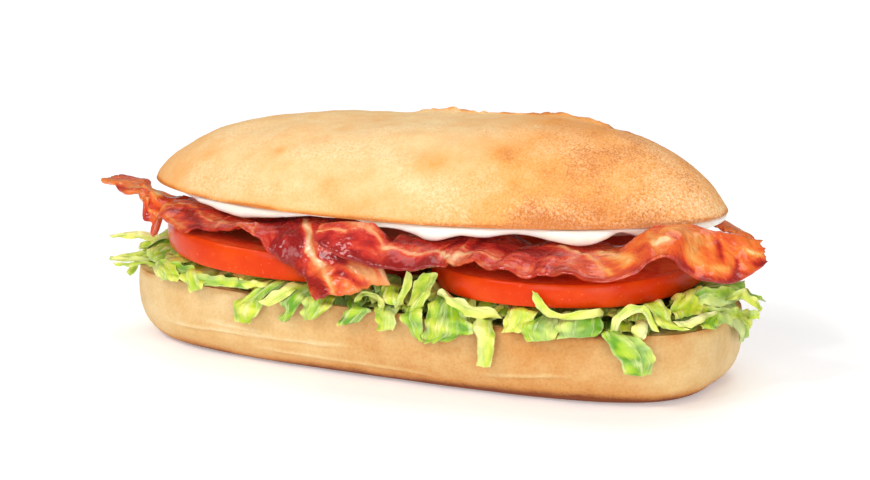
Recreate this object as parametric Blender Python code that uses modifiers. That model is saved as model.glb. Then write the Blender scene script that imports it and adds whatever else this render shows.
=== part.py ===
"""A BLT sandwich in a long white roll, at its real size.

From the bottom up: the heel of the roll, a bed of shredded lettuce, two slices of tomato, four strips of
bacon, a layer of mayonnaise and the crown of the roll. X runs along the roll, -Y is the front and +Z is up.
The flat underside of the heel rests on z = 0, and the origin is under its middle.
"""

import math
import random

import bmesh
import bpy
import numpy as np
from mathutils import Vector, noise
from mathutils.bvhtree import BVHTree

# The geometry is worked out in millimetres and degrees, and stored in metres.
MM = 0.001

# Clear space between neighbouring pieces, and the extra that a bent sheet keeps, as its faces are flat
GAP = 0.4
SHEET_SLACK = 0.3

# The heel: the lower half of the roll, cut level
HEEL_HALF_LENGTH = 87.5
HEEL_HALF_WIDTH = 36.0
HEEL_SQUARENESS = 3.2
HEEL_HEIGHT = 19.0
HEEL_FOOT_INSET = 9.0
HEEL_SWELL = 0.8

# The crown: the domed upper half, resting a little askew on the filling
CROWN_HALF_LENGTH = 85.0
CROWN_HALF_WIDTH = 35.2
CROWN_SQUARENESS = 1.95
CROWN_HEIGHT = 20.6
CROWN_RISE_TO_RIGHT = 0.165
CROWN_RISE_TO_ENDS = 0.24
CROWN_RIM_POWER = 3.3
CROWN_BLUNT_LEFT = 0.6
CROWN_DOME_POWER = 1.18
CROWN_CUT_Z = 45.9
CROWN_TILT = 1.1
CROWN_ROLL = 1.4
CROWN_YAW = 2.9
CROWN_RELIEF = 0.8

# Tomato slices: centre x, centre y, underside z, rise along x, rise along y, radius, thickness
TOMATO_SLICES = {
    "tomato_slice_left": (-41.0, -1.5, 24.6, -0.070, -0.060, 38.0, 7.6),
    "tomato_slice_right": (41.5, -1.5, 27.4, 0.010, 0.000, 37.2, 6.4),
}
TOMATO_LOBES = 5
TOMATO_LOBE_DEPTH = 0.012
TOMATO_SKIN_ROUND = 1.0
# The slices press the lettuce down this far past their edge
TOMATO_PRESS_REACH = 6.0

# Mayonnaise, spread on the cut face of the crown
MAYO_THICKNESS = 2.2
MAYO_INSET = 0.9
MAYO_EDGE_WAVE = 0.5
# It is thickest in a ridge along the middle, which fills most of the room above the tomatoes
MAYO_RIDGE_DEPTH = 7.0
MAYO_RIDGE_HALF_LENGTH = 80.0
MAYO_RIDGE_HALF_WIDTH = 5.5
# Drips over the edge: distance along the crown, extra depth, half-width
MAYO_DRIPS = ((-46, 1.2, 13), (14, 1.3, 6), (32, 1.5, 6), (54, 1.7, 9), (73, 2.0, 7))
MAYO_DRIP_FORWARD = 0.6

# Bacon
BACON_THICKNESS = 1.7
# On a strip of full width the ripples and waves have their full height
BACON_FULL_WIDTH = 30.0
# Small ripples grow towards the outer edge, and long waves towards the inner one
BACON_RIPPLE_LENGTH = 9.0
BACON_RIPPLE_HEIGHT = 0.9
BACON_WAVE_LENGTH = 27.0
BACON_WAVE_HEIGHT = 2.6
# The way each strip lies, station by station: x, y and z, the droop there and how much more it droops from
# edge to edge, both in degrees, and how far it reaches inwards and outwards
BACON_ROUTES = {
    "bacon_front_left": (
        (-98, -14, 42.8, 4, 10, 5, 3),
        (-91, -16, 42.8, 4, 10, 9, 4),
        (-84, -18, 42.0, 6, 15, 9, 6),
        (-79.5, -19, 41.6, 8, 15, 9, 5.5),
        (-76, -20.5, 41.2, 16, 20, 10, 6.5),
        (-73.2, -21, 40.4, 54, 50, 10, 15),
        (-70.5, -21.5, 40.6, 24, 30, 10, 10),
        (-66, -22.5, 41.0, 12, 15, 10, 11),
        (-54, -26, 39.5, 14, 25, 14, 12),
        (-45, -27, 41.0, 8, 20, 15, 12),
        (-36, -28, 41.5, 3, 5, 17, 12),
        (-28, -30.5, 41.2, 22, 40, 14, 12),
        (-20, -33.5, 39.0, 42, 50, 10, 11),
        (-13, -36, 35.5, 52, 32, 8.5, 11),
        (-9, -38, 32.0, 50, 10, 10, 11),
        (-6, -39.8, 28.6, 38, -10, 12, 10.5),
        (-4.4, -41, 24.6, 22, -24, 13, 9.5),
    ),
    "bacon_front_right": (
        (-15, -42.5, 42.0, 50, 10, 3, 2),
        (-8, -42.5, 41.5, 48, 15, 5.5, 5),
        (0, -41.5, 40.7, 40, 30, 7, 7.2),
        (8, -39, 39.9, 29, 36, 9, 9),
        (15, -35, 39.9, 16, 34, 14, 10.5),
        (21, -31, 40.0, 12, 25, 18, 12),
        (32, -30, 40.2, 4, 20, 18, 12),
        (41, -30, 39.8, 8, 25, 18, 12),
        (50, -29, 39.5, 10, 30, 18, 12),
        (59, -29, 40.3, 6, 20, 18, 12),
        (67, -28, 41.2, 16, 35, 18, 12),
        (74, -26, 45.0, 14, 45, 16, 11.5),
        (81, -24, 47.4, 12, 70, 13, 9),
        (88, -21, 44.6, 45, 50, 8.5, 9),
        (94, -17, 42.6, 62, 20, 6.8, 8.8),
        (98.5, -12, 42.2, 66, 10, 4.5, 6),
        (102, -8, 42.9, 70, 0, 3, 3.5),
    ),
    "bacon_back_left": (
        (-4, 36, 38.5, 55, 30, 13, 9),
        (-15, 31, 40.0, 24, 20, 18, 12),
        (-28, 28, 39.5, 16, 30, 18, 12),
        (-41, 27, 40.0, 10, 20, 18, 12),
        (-54, 25, 39.0, 24, 30, 14, 12),
        (-67, 21, 40.5, 8, 20, 11, 12),
        (-79, 14, 39.0, 20, 30, 7, 10),
        (-88, 8, 39.5, 10, 10, 6, 6),
    ),
    "bacon_back_right": (
        (85, 12, 41.0, 20, 10, 7, 6),
        (77, 20, 41.0, 24, 30, 9, 11),
        (66, 25, 41.0, 10, 20, 12, 12),
        (53, 28, 39.5, 24, 30, 15, 12),
        (40, 29, 40.5, 8, 20, 18, 12),
        (27, 31, 39.5, 28, 30, 18, 12),
        (16, 35, 36.5, 62, 30, 17, 11),
        (9, 38, 31.0, 78, 10, 15, 10),
    ),
}
BACON_ROWS_PER_STATION = 3
BACON_GRID_ACROSS = 5

# Lettuce: a bed between the heel and the tomatoes, with shreds that hang out of it
LETTUCE_BED_INSET = 3.0
LETTUCE_BED_TOP = 27.0
LETTUCE_BED_WAVE = 1.0
LETTUCE_THICKNESS = 0.9
LETTUCE_GRID = (4, 2)
LETTUCE_SEED = 5
# The shreds that show at the front and the ends, each from its root outwards: rows of a place on one of its
# edges and the place across from it on the other edge
LETTUCE_RIBBONS = (
    (
        (-85.4, -11, 27.7, -85.4, -11, 25.4),
        (-90.8, -12.5, 27.8, -90.2, -12.5, 25.8),
        (-97.7, -14, 25.9, -97.7, -14, 25.1),
    ),
    (
        (-79.4, -12, 26, -79.5, -12, 23.3),
        (-85.4, -11, 25.4, -85.5, -11, 22.4),
        (-90.1, -10, 23.8, -90.2, -10, 22),
    ),
    (
        (-75.7, -16, 24.9, -75.7, -16, 22.8),
        (-86.3, -14, 23, -86.4, -14, 20.9),
        (-96.4, -12, 19.7, -96.1, -12, 18.2),
    ),
    (
        (-74.5, -19, 23.6, -74.6, -19, 21.6),
        (-85.8, -17, 21.9, -85.8, -17, 19.9),
        (-98.6, -15, 20.1, -97.9, -15, 19),
    ),
    (
        (-73.3, -21, 22.5, -74, -21, 20.1),
        (-83.9, -19, 20.8, -83.9, -19, 18.8),
        (-94.6, -17, 18.9, -94.7, -17, 17.1),
    ),
    (
        (-74.5, -27.7, 22.7, -63.3, -31.9, 24.8),
        (-70.7, -32.2, 21.5, -60.4, -35.1, 23.3),
        (-67.7, -33.4, 19.8, -61, -35.2, 21.3),
    ),
    (
        (-62.2, -32.7, 23.4, -53.4, -34.5, 24.3),
        (-59.6, -35.5, 21.2, -51.3, -37, 22.5),
        (-56.3, -36.2, 18.9, -52.7, -36.8, 19.7),
    ),
    (
        (-54.8, -35.3, 24.9, -54.9, -35.3, 21.2),
        (-48.3, -37.2, 25.2, -48.3, -37.2, 21.8),
        (-42.5, -37.8, 25.4, -42.6, -37.7, 22.3),
        (-36.6, -38.2, 25.6, -36.6, -38.2, 22.5),
    ),
    (
        (-35.1, -34.3, 23.5, -28.3, -34.7, 24.4),
        (-39.5, -37.1, 20, -32.7, -37.5, 20.3),
        (-43, -38.2, 17.2, -32.2, -38.9, 17.9),
        (-41.4, -38.4, 14.1, -35.1, -38.8, 14.7),
        (-39.6, -38.3, 12.6, -36.9, -38.5, 12.7),
    ),
    (
        (-26.4, -36.2, 25.2, -22, -36.4, 24.6),
        (-29.2, -39.1, 23, -24.8, -39.2, 21.6),
        (-33.5, -39.9, 19.6, -31.2, -40, 18.2),
    ),
    (
        (-23.9, -36.3, 23.8, -17.9, -36.4, 24.3),
        (-26.5, -39, 21.1, -19.6, -39.1, 21.9),
        (-26, -39.4, 18.1, -21.9, -39.4, 18.1),
        (-28.1, -39, 15, -24.6, -39.1, 14.3),
    ),
    (
        (-21.1, -36.4, 21.9, -10.5, -36.5, 22.4),
        (-20.5, -39.2, 19.3, -10.9, -39.2, 20.5),
        (-20.3, -39.1, 15.4, -16.8, -39.1, 16.1),
    ),
    (
        (-7.5, -36.5, 21.9, -2.6, -36.5, 21.9),
        (-6.8, -39, 20.3, 1.5, -39, 21.3),
        (-9.1, -39.3, 17.6, -2, -39.3, 18.2),
        (-8.2, -39.2, 16.3, -5.1, -39.2, 16.7),
    ),
    (
        (0.7, -37, 21.3, 8.2, -37, 21.4),
        (2.4, -39, 19, 9, -39, 18.9),
        (3, -39, 16, 8.1, -39, 16.3),
    ),
    (
        (6.5, -36, 22.1, 9.2, -36, 22.4),
        (8.5, -37.5, 27.1, 11.8, -37.5, 27.4),
        (11.2, -38, 33.2, 13.9, -37.9, 33),
    ),
    (
        (10.7, -36, 22.3, 13.7, -36, 23.2),
        (12.4, -37.4, 27.2, 17.5, -37.4, 28.1),
        (13.6, -38, 30.8, 20.7, -37.8, 31.8),
        (17.1, -37.9, 33.9, 18.9, -37.9, 34.1),
    ),
    (
        (10.7, -36.5, 22.4, 15.8, -36.4, 23),
        (9.9, -39, 21, 17.1, -38.9, 20.7),
        (12.5, -39.3, 18, 17.2, -39.2, 17),
        (15.4, -39.2, 15.1, 17.2, -39.2, 13.7),
    ),
    (
        (17.3, -35.9, 26.1, 28.5, -35.7, 22.4),
        (16.9, -39.2, 21.6, 32.4, -38.8, 20.6),
        (16.5, -39.5, 16.9, 31.4, -39.2, 18.4),
        (16.7, -39.4, 13.6, 21.4, -39.4, 15.6),
    ),
    (
        (20.8, -36.4, 29.1, 21.7, -36.3, 25.6),
        (26.3, -37.2, 28.8, 26, -37.3, 22.8),
        (32.1, -37, 27.8, 31.5, -37.1, 22.6),
        (39.2, -36.1, 24.9, 39, -36.1, 23),
    ),
    (
        (30.4, -36.1, 21.7, 35.9, -35.8, 21.4),
        (32, -38.6, 18.9, 38, -38.3, 19),
        (32.6, -38.6, 14.3, 37.7, -38.3, 14.9),
        (32.3, -38.6, 9.4, 36.3, -38.4, 8.8),
    ),
    (
        (39.5, -35.6, 25.4, 49.2, -34.6, 27.1),
        (39.4, -37.1, 22.4, 47.5, -36.3, 23.2),
        (39.1, -38.2, 19.4, 43.6, -37.8, 19.6),
    ),
    (
        (46, -34.5, 22.9, 54.1, -33.3, 24.7),
        (44, -37.6, 20.7, 55.5, -36.1, 21.7),
        (47.6, -37.7, 17.6, 54.6, -36.7, 19.1),
    ),
    (
        (53.1, -33.5, 24.6, 65.5, -30.7, 26),
        (53.6, -36.4, 21.8, 67.1, -33.4, 23.3),
        (54.8, -36.6, 19.3, 66, -34.1, 20.6),
    ),
    (
        (64.9, -32, 28.4, 64.5, -32.1, 25.9),
        (60.5, -34.7, 27.9, 60, -34.8, 24.9),
        (56.2, -36.6, 27.3, 54.6, -36.9, 25),
        (53.3, -38.4, 28.5, 50.9, -38.8, 26.9),
        (51.3, -39.1, 31.1, 49.2, -39.4, 29.5),
        (49.4, -39.4, 33.3, 48.6, -39.5, 32.7),
    ),
    (
        (67.7, -32.2, 22.3, 69.6, -31.5, 21.8),
        (68.8, -32.4, 26.2, 71, -31.6, 25),
        (71.9, -31.2, 29.3, 73.2, -30.7, 26.6),
        (75.2, -29.7, 29.9, 75.5, -29.6, 27.4),
        (77.9, -28.7, 27.8, 76.8, -29.3, 25.9),
        (80.3, -27.4, 21.1, 79.2, -28.1, 20.8),
    ),
    (
        (74, -26.1, 29.1, 78.6, -23.1, 29.2),
        (76.9, -26.9, 27.3, 81.2, -23.7, 27.3),
        (78.7, -27.7, 25, 82.7, -24.6, 25.2),
        (80.9, -26.9, 22.1, 86, -21.7, 22),
    ),
    (
        (79.7, -19, 29.8, 84.5, -3.2, 28.6),
        (80.1, -22.5, 27.1, 86.7, -8.5, 25.7),
        (82.6, -23, 24.3, 87.6, -14.7, 24),
    ),
    (
        (86.1, -15.6, 32.2, 86.4, -14.7, 27.2),
        (89, -10.3, 31.6, 89.2, -9, 25.6),
        (90.5, -1.9, 29.8, 90.5, 0.5, 25.2),
        (96.1, -4, 29.6, 96.2, -4, 27.7),
        (100.8, -3, 27.8, 100.3, -3, 27),
    ),
    (
        (88.2, -12.2, 26.8, 88.5, -10.6, 22.9),
        (90.5, -1.6, 24, 90.5, 0.8, 20.2),
        (97.2, -8, 26.1, 97.9, -8, 23.1),
        (100.5, -7, 25.7, 99.2, -7, 23.3),
    ),
    (
        (65.3, -31.3, 22.3, 69.3, -30, 22),
        (66.8, -33.9, 19.9, 74.8, -30.9, 21.2),
        (69.6, -33.7, 16.4, 78.7, -29.5, 18.4),
        (71.8, -32.9, 12.7, 79.6, -28.9, 14.6),
        (73.6, -31.7, 9.9, 78.2, -29.3, 10.2),
    ),
)
# A root goes this far into the bed, between these heights, and a shred curls up by this share of its width
LETTUCE_ROOT_REACH = 8.0
LETTUCE_ROOT_HEIGHTS = (21.5, 24.0)
LETTUCE_CURL = 0.12
# The rest follow the rim round the back: how many, from where to where, and how far in from it they start
LETTUCE_RIM_SHREDS = 9
LETTUCE_RIM_ARC = (-15, 200)
LETTUCE_ROOT_INSET = 9.0


def plan_radius(angle, half_length, half_width, squareness):
    """Distance from the middle to the edge of a superellipse, in the direction of angle."""
    along = abs(math.cos(angle) / half_length) ** squareness
    across = abs(math.sin(angle) / half_width) ** squareness
    return (along + across) ** (-1 / squareness)


def smooth_lumps(point, size, seed):
    """Smooth bumps between about -1 and 1."""
    return noise.noise(Vector(point) / size + Vector((17.3, 7.1, 3.7)) * seed)


def rounded_body(place, segments, rings, spread=1.0):
    """A closed mesh from a sphere, each point of which moves to place(longitude, level).

    The level goes from -1 at the lowest point to 1 at the highest. A spread below 1 puts more of the points at
    the two ends of a long body.
    """
    shape = bmesh.new()
    bmesh.ops.create_uvsphere(shape, u_segments=segments, v_segments=rings, radius=1)
    for vertex in shape.verts:
        longitude = math.atan2(vertex.co.y * spread, vertex.co.x)
        level = math.asin(max(-1.0, min(1.0, vertex.co.z))) * 2 / math.pi
        vertex.co = Vector(place(longitude, round(level, 5))) * MM
    bmesh.ops.triangulate(shape, faces=shape.faces)
    mesh = bpy.data.meshes.new("rounded body")
    shape.to_mesh(mesh)
    shape.free()
    mesh.shade_smooth()
    mesh.set_sharp_from_angle(angle=math.radians(50))
    return mesh


def heel_place(longitude, level):
    """The heel: a level cut face, sides that swell and round under, and a flat foot."""
    top, foot = 0.75, -0.75
    inset, z, share = 0.0, HEEL_HEIGHT, 1.0
    if level > top:
        share = (1 - level) / (1 - top)
    elif level >= foot:
        turn = (top - level) / (top - foot) * math.pi / 2
        inset = HEEL_FOOT_INSET * (1 - math.cos(turn)) ** 1.4
        z = HEEL_HEIGHT * (1 - math.sin(turn))
    else:
        inset, z = HEEL_FOOT_INSET, 0.0
        share = (1 + level) / (1 + foot)
    reach = plan_radius(longitude, HEEL_HALF_LENGTH - inset, HEEL_HALF_WIDTH - inset, HEEL_SQUARENESS)
    x = reach * math.cos(longitude)
    y = reach * math.sin(longitude)
    bulge = math.sin(math.pi * z / HEEL_HEIGHT)
    swell = share * (1 + bulge * HEEL_SWELL * (1 + smooth_lumps((x, y, z), 26, 1)) / reach)
    return x * swell, y * swell, z


def on_crown(x, y, z):
    """A point given from the middle of the crown's cut face, in the sandwich's frame."""
    z += CROWN_CUT_Z + math.tan(math.radians(CROWN_TILT)) * x + math.tan(math.radians(CROWN_ROLL)) * y
    cos_yaw = math.cos(math.radians(CROWN_YAW))
    sin_yaw = math.sin(math.radians(CROWN_YAW))
    return x * cos_yaw - y * sin_yaw, x * sin_yaw + y * cos_yaw, z


def crown_place(longitude, level):
    """The crown: a flat cut face below and a long dome above."""
    cut = -0.75
    if level < cut:
        share = (1 + level) / (1 + cut)
    else:
        share = math.cos((level - cut) / (1 - cut) * math.pi / 2)
    reach = share * plan_radius(longitude, CROWN_HALF_LENGTH, CROWN_HALF_WIDTH, CROWN_SQUARENESS)
    x = reach * math.cos(longitude)
    y = reach * math.sin(longitude)
    if level <= cut:
        return on_crown(x, y, 0)
    along = x / CROWN_HALF_LENGTH
    rim_power = CROWN_RIM_POWER + CROWN_BLUNT_LEFT * max(0.0, -along)
    rise = (1 - share**rim_power) ** (1 / CROWN_DOME_POWER)
    height = CROWN_HEIGHT * (1 + CROWN_RISE_TO_RIGHT * along + CROWN_RISE_TO_ENDS * along**2)
    relief = CROWN_RELIEF * smooth_lumps((x, y, 0), 22, 2)
    return on_crown(x, y, (height + relief) * rise)


def mayo_drip(x):
    """How much deeper the front edge of the mayonnaise sags at a distance along the crown."""
    return sum(depth * np.exp(-(((x - at) / width) ** 2)) for at, depth, width in MAYO_DRIPS)


def mayo_ridge(x, y):
    """How much deeper the mayonnaise is in its middle ridge, at a point of the crown's cut face."""
    along = np.maximum(0, 1 - (x / MAYO_RIDGE_HALF_LENGTH) ** 4)
    return MAYO_RIDGE_DEPTH * along * np.exp(-((y / MAYO_RIDGE_HALF_WIDTH) ** 2))


def mayo_place(longitude, level):
    """The mayonnaise: flat against the crown, with a rounded wavy edge that sags in drips at the front."""
    reach = plan_radius(longitude, CROWN_HALF_LENGTH, CROWN_HALF_WIDTH, CROWN_SQUARENESS)
    drip = mayo_drip(reach * math.cos(longitude)) * max(0.0, -math.sin(longitude))
    reach += MAYO_DRIP_FORWARD * drip - MAYO_INSET + MAYO_EDGE_WAVE * math.sin(longitude * 11)
    thickness = MAYO_THICKNESS + drip
    top, bottom = 0.8, -0.2
    if bottom <= level <= top:
        turn = ((level - bottom) / (top - bottom) - 0.5) * math.pi
        reach += 0.5 * thickness * (math.cos(turn) - 1)
        z = 0.5 * thickness * (math.sin(turn) - 1)
        return on_crown(reach * math.cos(longitude), reach * math.sin(longitude), z - GAP)
    share = (1 - level) / (1 - top) if level > top else (1 + level) / (1 + bottom)
    x = share * (reach - 0.5 * thickness) * math.cos(longitude)
    y = share * (reach - 0.5 * thickness) * math.sin(longitude)
    depth = 0.0 if level > top else MAYO_THICKNESS + drip * share**4 + mayo_ridge(x, y)
    return on_crown(x, y, -depth - GAP)


def tomato_place(slice_sizes):
    """Gives the place function of one slice of tomato: two flat cut faces and a rounded skin."""
    centre_x, centre_y, under_z, rise_x, rise_y, radius, thickness = slice_sizes
    rim = 0.5

    def place(longitude, level):
        reach = radius * (1 + TOMATO_LOBE_DEPTH * math.cos(TOMATO_LOBES * longitude + centre_x))
        if abs(level) <= rim:
            turn = level / rim * math.pi / 2
            height = 0.5 + 0.5 * math.sin(turn)
            reach -= TOMATO_SKIN_ROUND * (1 - math.cos(turn))
        else:
            height = 1.0 if level > 0 else 0.0
            reach = (reach - TOMATO_SKIN_ROUND) * (1 - abs(level)) / (1 - rim)
        x = reach * math.cos(longitude)
        y = reach * math.sin(longitude)
        return centre_x + x, centre_y + y, under_z + height * thickness + rise_x * x + rise_y * y

    return place


def under_tomatoes(x, y):
    """The height of the lowest tomato slice above a point, or None where there is none."""
    lowest = None
    for centre_x, centre_y, under_z, rise_x, rise_y, radius, _ in TOMATO_SLICES.values():
        if math.hypot(x - centre_x, y - centre_y) < radius + TOMATO_PRESS_REACH:
            z = under_z + rise_x * (x - centre_x) + rise_y * (y - centre_y)
            lowest = z if lowest is None else min(lowest, z)
    return lowest


def lettuce_bed_place(longitude, level):
    """The bed of lettuce: flat on the heel, lumpy on top and pressed down by the tomatoes."""
    half_length = HEEL_HALF_LENGTH - LETTUCE_BED_INSET
    half_width = HEEL_HALF_WIDTH - LETTUCE_BED_INSET
    reach = plan_radius(longitude, half_length, half_width, HEEL_SQUARENESS)
    reach += LETTUCE_BED_WAVE * math.sin(longitude * 13)
    bottom = -0.5
    floor = HEEL_HEIGHT + GAP
    if level <= bottom:
        share, rise = (1 + level) / (1 + bottom), 0.0
    else:
        turn = (level - bottom) / (1 - bottom) * math.pi / 2
        share, rise = math.cos(turn), min(1.0, 1.6 * math.sin(turn))
    x = share * reach * math.cos(longitude)
    y = share * reach * math.sin(longitude)
    top = LETTUCE_BED_TOP + LETTUCE_BED_WAVE * smooth_lumps((x, y, 0), 9, 3)
    ceiling = under_tomatoes(x, y)
    if ceiling is not None:
        top = min(top, ceiling - GAP)
    return x, y, floor + rise * (top - floor)


def smooth_route(stations, count):
    """Rows read evenly from a Catmull-Rom curve through the stations, and the distance along it of each."""
    rows = np.array(stations, float)
    ends = np.vstack([2 * rows[0] - rows[1], rows, 2 * rows[-1] - rows[-2]])
    fine = []
    for a, b, c, d in zip(ends, ends[1:], ends[2:], ends[3:]):
        for t in np.linspace(0, 1, 12, endpoint=False):
            bend = (2 * a - 5 * b + 4 * c - d) * t**2 + (3 * b - a - 3 * c + d) * t**3
            fine.append(b + 0.5 * ((c - a) * t + bend))
    fine = np.array(fine + [rows[-1]])
    steps = np.linalg.norm(np.diff(fine[:, :3], axis=0), axis=1)
    distance = np.concatenate([[0], np.cumsum(steps)])
    places = np.linspace(0, distance[-1], count)
    return np.stack([np.interp(places, distance, column) for column in fine.T], axis=1), places


def unit(vectors):
    """The vectors, each made one long."""
    return vectors / np.linalg.norm(vectors, axis=-1, keepdims=True)


def bacon_points(stations, phase):
    """A grid of points on the middle surface of a strip of bacon, from its inner edge to its outer one."""
    along_count = BACON_ROWS_PER_STATION * len(stations)
    rows, places = smooth_route(stations, along_count + 1)
    tangent = unit(np.gradient(rows[:, :3], axis=0))
    level = unit(np.stack([tangent[:, 1], -tangent[:, 0], np.zeros(len(rows))], axis=1))
    down = np.cross(tangent, level)
    outward = np.linspace(0, 1, BACON_GRID_ACROSS + 1)
    swing = 0.6 + 0.4 * np.sin(places * 0.11 + 2 * phase)
    ripple = BACON_RIPPLE_HEIGHT * swing * np.sin(2 * math.pi * places / BACON_RIPPLE_LENGTH + phase)
    wave = BACON_WAVE_HEIGHT * np.sin(2 * math.pi * places / BACON_WAVE_LENGTH + phase)
    points = np.zeros((len(rows), len(outward), 3))
    for i, (x, y, z, droop, bend, inner, outer) in enumerate(rows):
        width = inner + outer
        across = outward * width - inner
        angle = np.radians(droop + bend * across / width)
        direction = np.outer(np.cos(angle), level[i]) + np.outer(np.sin(angle), down[i])
        steps = 0.5 * (direction[1:] + direction[:-1]) * width / BACON_GRID_ACROSS
        offset = np.vstack([np.zeros(3), np.cumsum(steps, axis=0)])
        offset -= [np.interp(0, across, column) for column in offset.T]
        lift = width / BACON_FULL_WIDTH * (ripple[i] * outward**1.5 + wave[i] * (1 - outward) ** 1.5)
        points[i] = np.array((x, y, z)) + offset + lift[:, None] * np.cross(tangent[i], direction)
    return points


def shred_points(x, y, z, heading, pitch, bend, turn, roll, length, width, wave):
    """A grid of points on the middle surface of one shred of lettuce."""
    along_count, across_count = LETTUCE_GRID
    places = np.linspace(0, 1, along_count + 1)
    across = np.linspace(-0.5, 0.5, across_count + 1)
    pitches = np.radians(pitch + bend * places)
    headings = np.radians(heading + turn * places)
    flat = np.cos(pitches)
    tangent = np.stack([flat * np.cos(headings), flat * np.sin(headings), np.sin(pitches)], axis=1)
    steps = 0.5 * (tangent[1:] + tangent[:-1]) * length / along_count
    centre = np.vstack([np.zeros(3), np.cumsum(steps, axis=0)]) + np.array((x, y, z))
    level = np.stack([-np.sin(headings), np.cos(headings), np.zeros(len(places))], axis=1)
    side = math.cos(math.radians(roll)) * level + math.sin(math.radians(roll)) * np.cross(tangent, level)
    normal = np.cross(tangent, side)
    taper = 0.5 + 0.5 * np.sin(math.pi * (0.15 + 0.7 * places))
    points = np.zeros((along_count + 1, across_count + 1, 3))
    for j, share in enumerate(across):
        lift = wave * (1 - 4 * share**2) + wave * 2 * share * np.sin(0.5 * length * places + x)
        points[:, j] = centre + side * (share * width * taper)[:, None] + normal * lift[:, None]
    return points


def ribbon_points(stations):
    """A grid of points on the middle surface of a shred given by its edges, with a root in the bed."""
    edges = np.array(stations, float).reshape(-1, 2, 3)
    x, y, _ = edges[0].mean(axis=0)
    outward = unit(np.array((x / HEEL_HALF_LENGTH**2, y / HEEL_HALF_WIDTH**2, 0)))
    root = edges[0] - outward * LETTUCE_ROOT_REACH
    height = root[:, 2].mean()
    root[:, 2] += np.clip(height, *LETTUCE_ROOT_HEIGHTS) - height
    edges = np.concatenate([root[None], edges])
    middle = edges.mean(axis=1)
    across = edges[:, 1] - edges[:, 0]
    normal = unit(np.cross(np.gradient(middle, axis=0), across))
    middle += LETTUCE_CURL * np.linalg.norm(across, axis=1, keepdims=True) * normal
    return np.stack([edges[:, 0], middle, edges[:, 1]], axis=1)


def past_outline(x, y, half_length, half_width, squareness):
    """How far points lie outside a superellipse, near its edge."""
    rho = (abs(x / half_length) ** squareness + abs(y / half_width) ** squareness) ** (1 / squareness)
    return np.hypot(x, y) * (1 - 1 / np.maximum(rho, 1e-6))


def outside_heel(points):
    """How far points lie outside the heel. Below the cut only its widest outline counts."""
    x, y, z = points.T
    swell = 2 * HEEL_SWELL
    beside = past_outline(x, y, HEEL_HALF_LENGTH + swell, HEEL_HALF_WIDTH + swell, HEEL_SQUARENESS)
    return np.maximum(z - HEEL_HEIGHT, beside)


def outside_crown(points):
    """How far points lie outside the crown and its mayonnaise, seen from below and from the sides."""
    yaw = math.radians(CROWN_YAW)
    x = points[:, 0] * math.cos(yaw) + points[:, 1] * math.sin(yaw)
    y = points[:, 1] * math.cos(yaw) - points[:, 0] * math.sin(yaw)
    z = points[:, 2]
    cut = CROWN_CUT_Z + math.tan(math.radians(CROWN_TILT)) * x + math.tan(math.radians(CROWN_ROLL)) * y
    depth = MAYO_THICKNESS + mayo_drip(x) * (y < 0) + mayo_ridge(x, y)
    beside = past_outline(x, y, CROWN_HALF_LENGTH, CROWN_HALF_WIDTH, CROWN_SQUARENESS)
    return np.maximum(cut - GAP - depth - z, beside)


def outside_slice(slice_sizes):
    """Gives the function that says how far points lie outside one slice of tomato."""
    centre_x, centre_y, under_z, rise_x, rise_y, radius, thickness = slice_sizes

    def outside(points):
        x, y, z = points.T
        middle = under_z + thickness / 2 + rise_x * (x - centre_x) + rise_y * (y - centre_y)
        beside = np.hypot(x - centre_x, y - centre_y) - radius * (1 + TOMATO_LOBE_DEPTH)
        return np.maximum(abs(z - middle) - thickness / 2, beside)

    return outside


def outside_sheet(sheet, thickness):
    """Gives the function that says how far points lie from a strip of bacon, on either side of it."""
    rows, columns = sheet.shape[:2]
    corners = [(i * columns + j) for i in range(rows - 1) for j in range(columns - 1)]
    faces = [(k, k + 1, k + columns + 1, k + columns) for k in corners]
    tree = BVHTree.FromPolygons([Vector(point) for point in sheet.reshape(-1, 3)], faces)

    def outside(points):
        return np.array([tree.find_nearest(Vector(point))[3] for point in points]) - thickness / 2

    return outside


def push_out(points, shapes, clearance):
    """The moves that take points out to their clearance from the shapes. Clear points stay."""
    moves = np.zeros_like(points)
    for outside in shapes:
        depth = clearance - outside(points)
        near = np.nonzero(depth > 0)[0]
        if not near.size:
            continue
        slopes = [outside(points[near] + step) - outside(points[near] - step) for step in 0.05 * np.eye(3)]
        slope = np.stack(slopes, axis=1)
        length = np.maximum(np.linalg.norm(slope, axis=1, keepdims=True), 1e-9)
        moves[near] += slope / length * (depth[near, None] + 0.03)
    return moves


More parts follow.
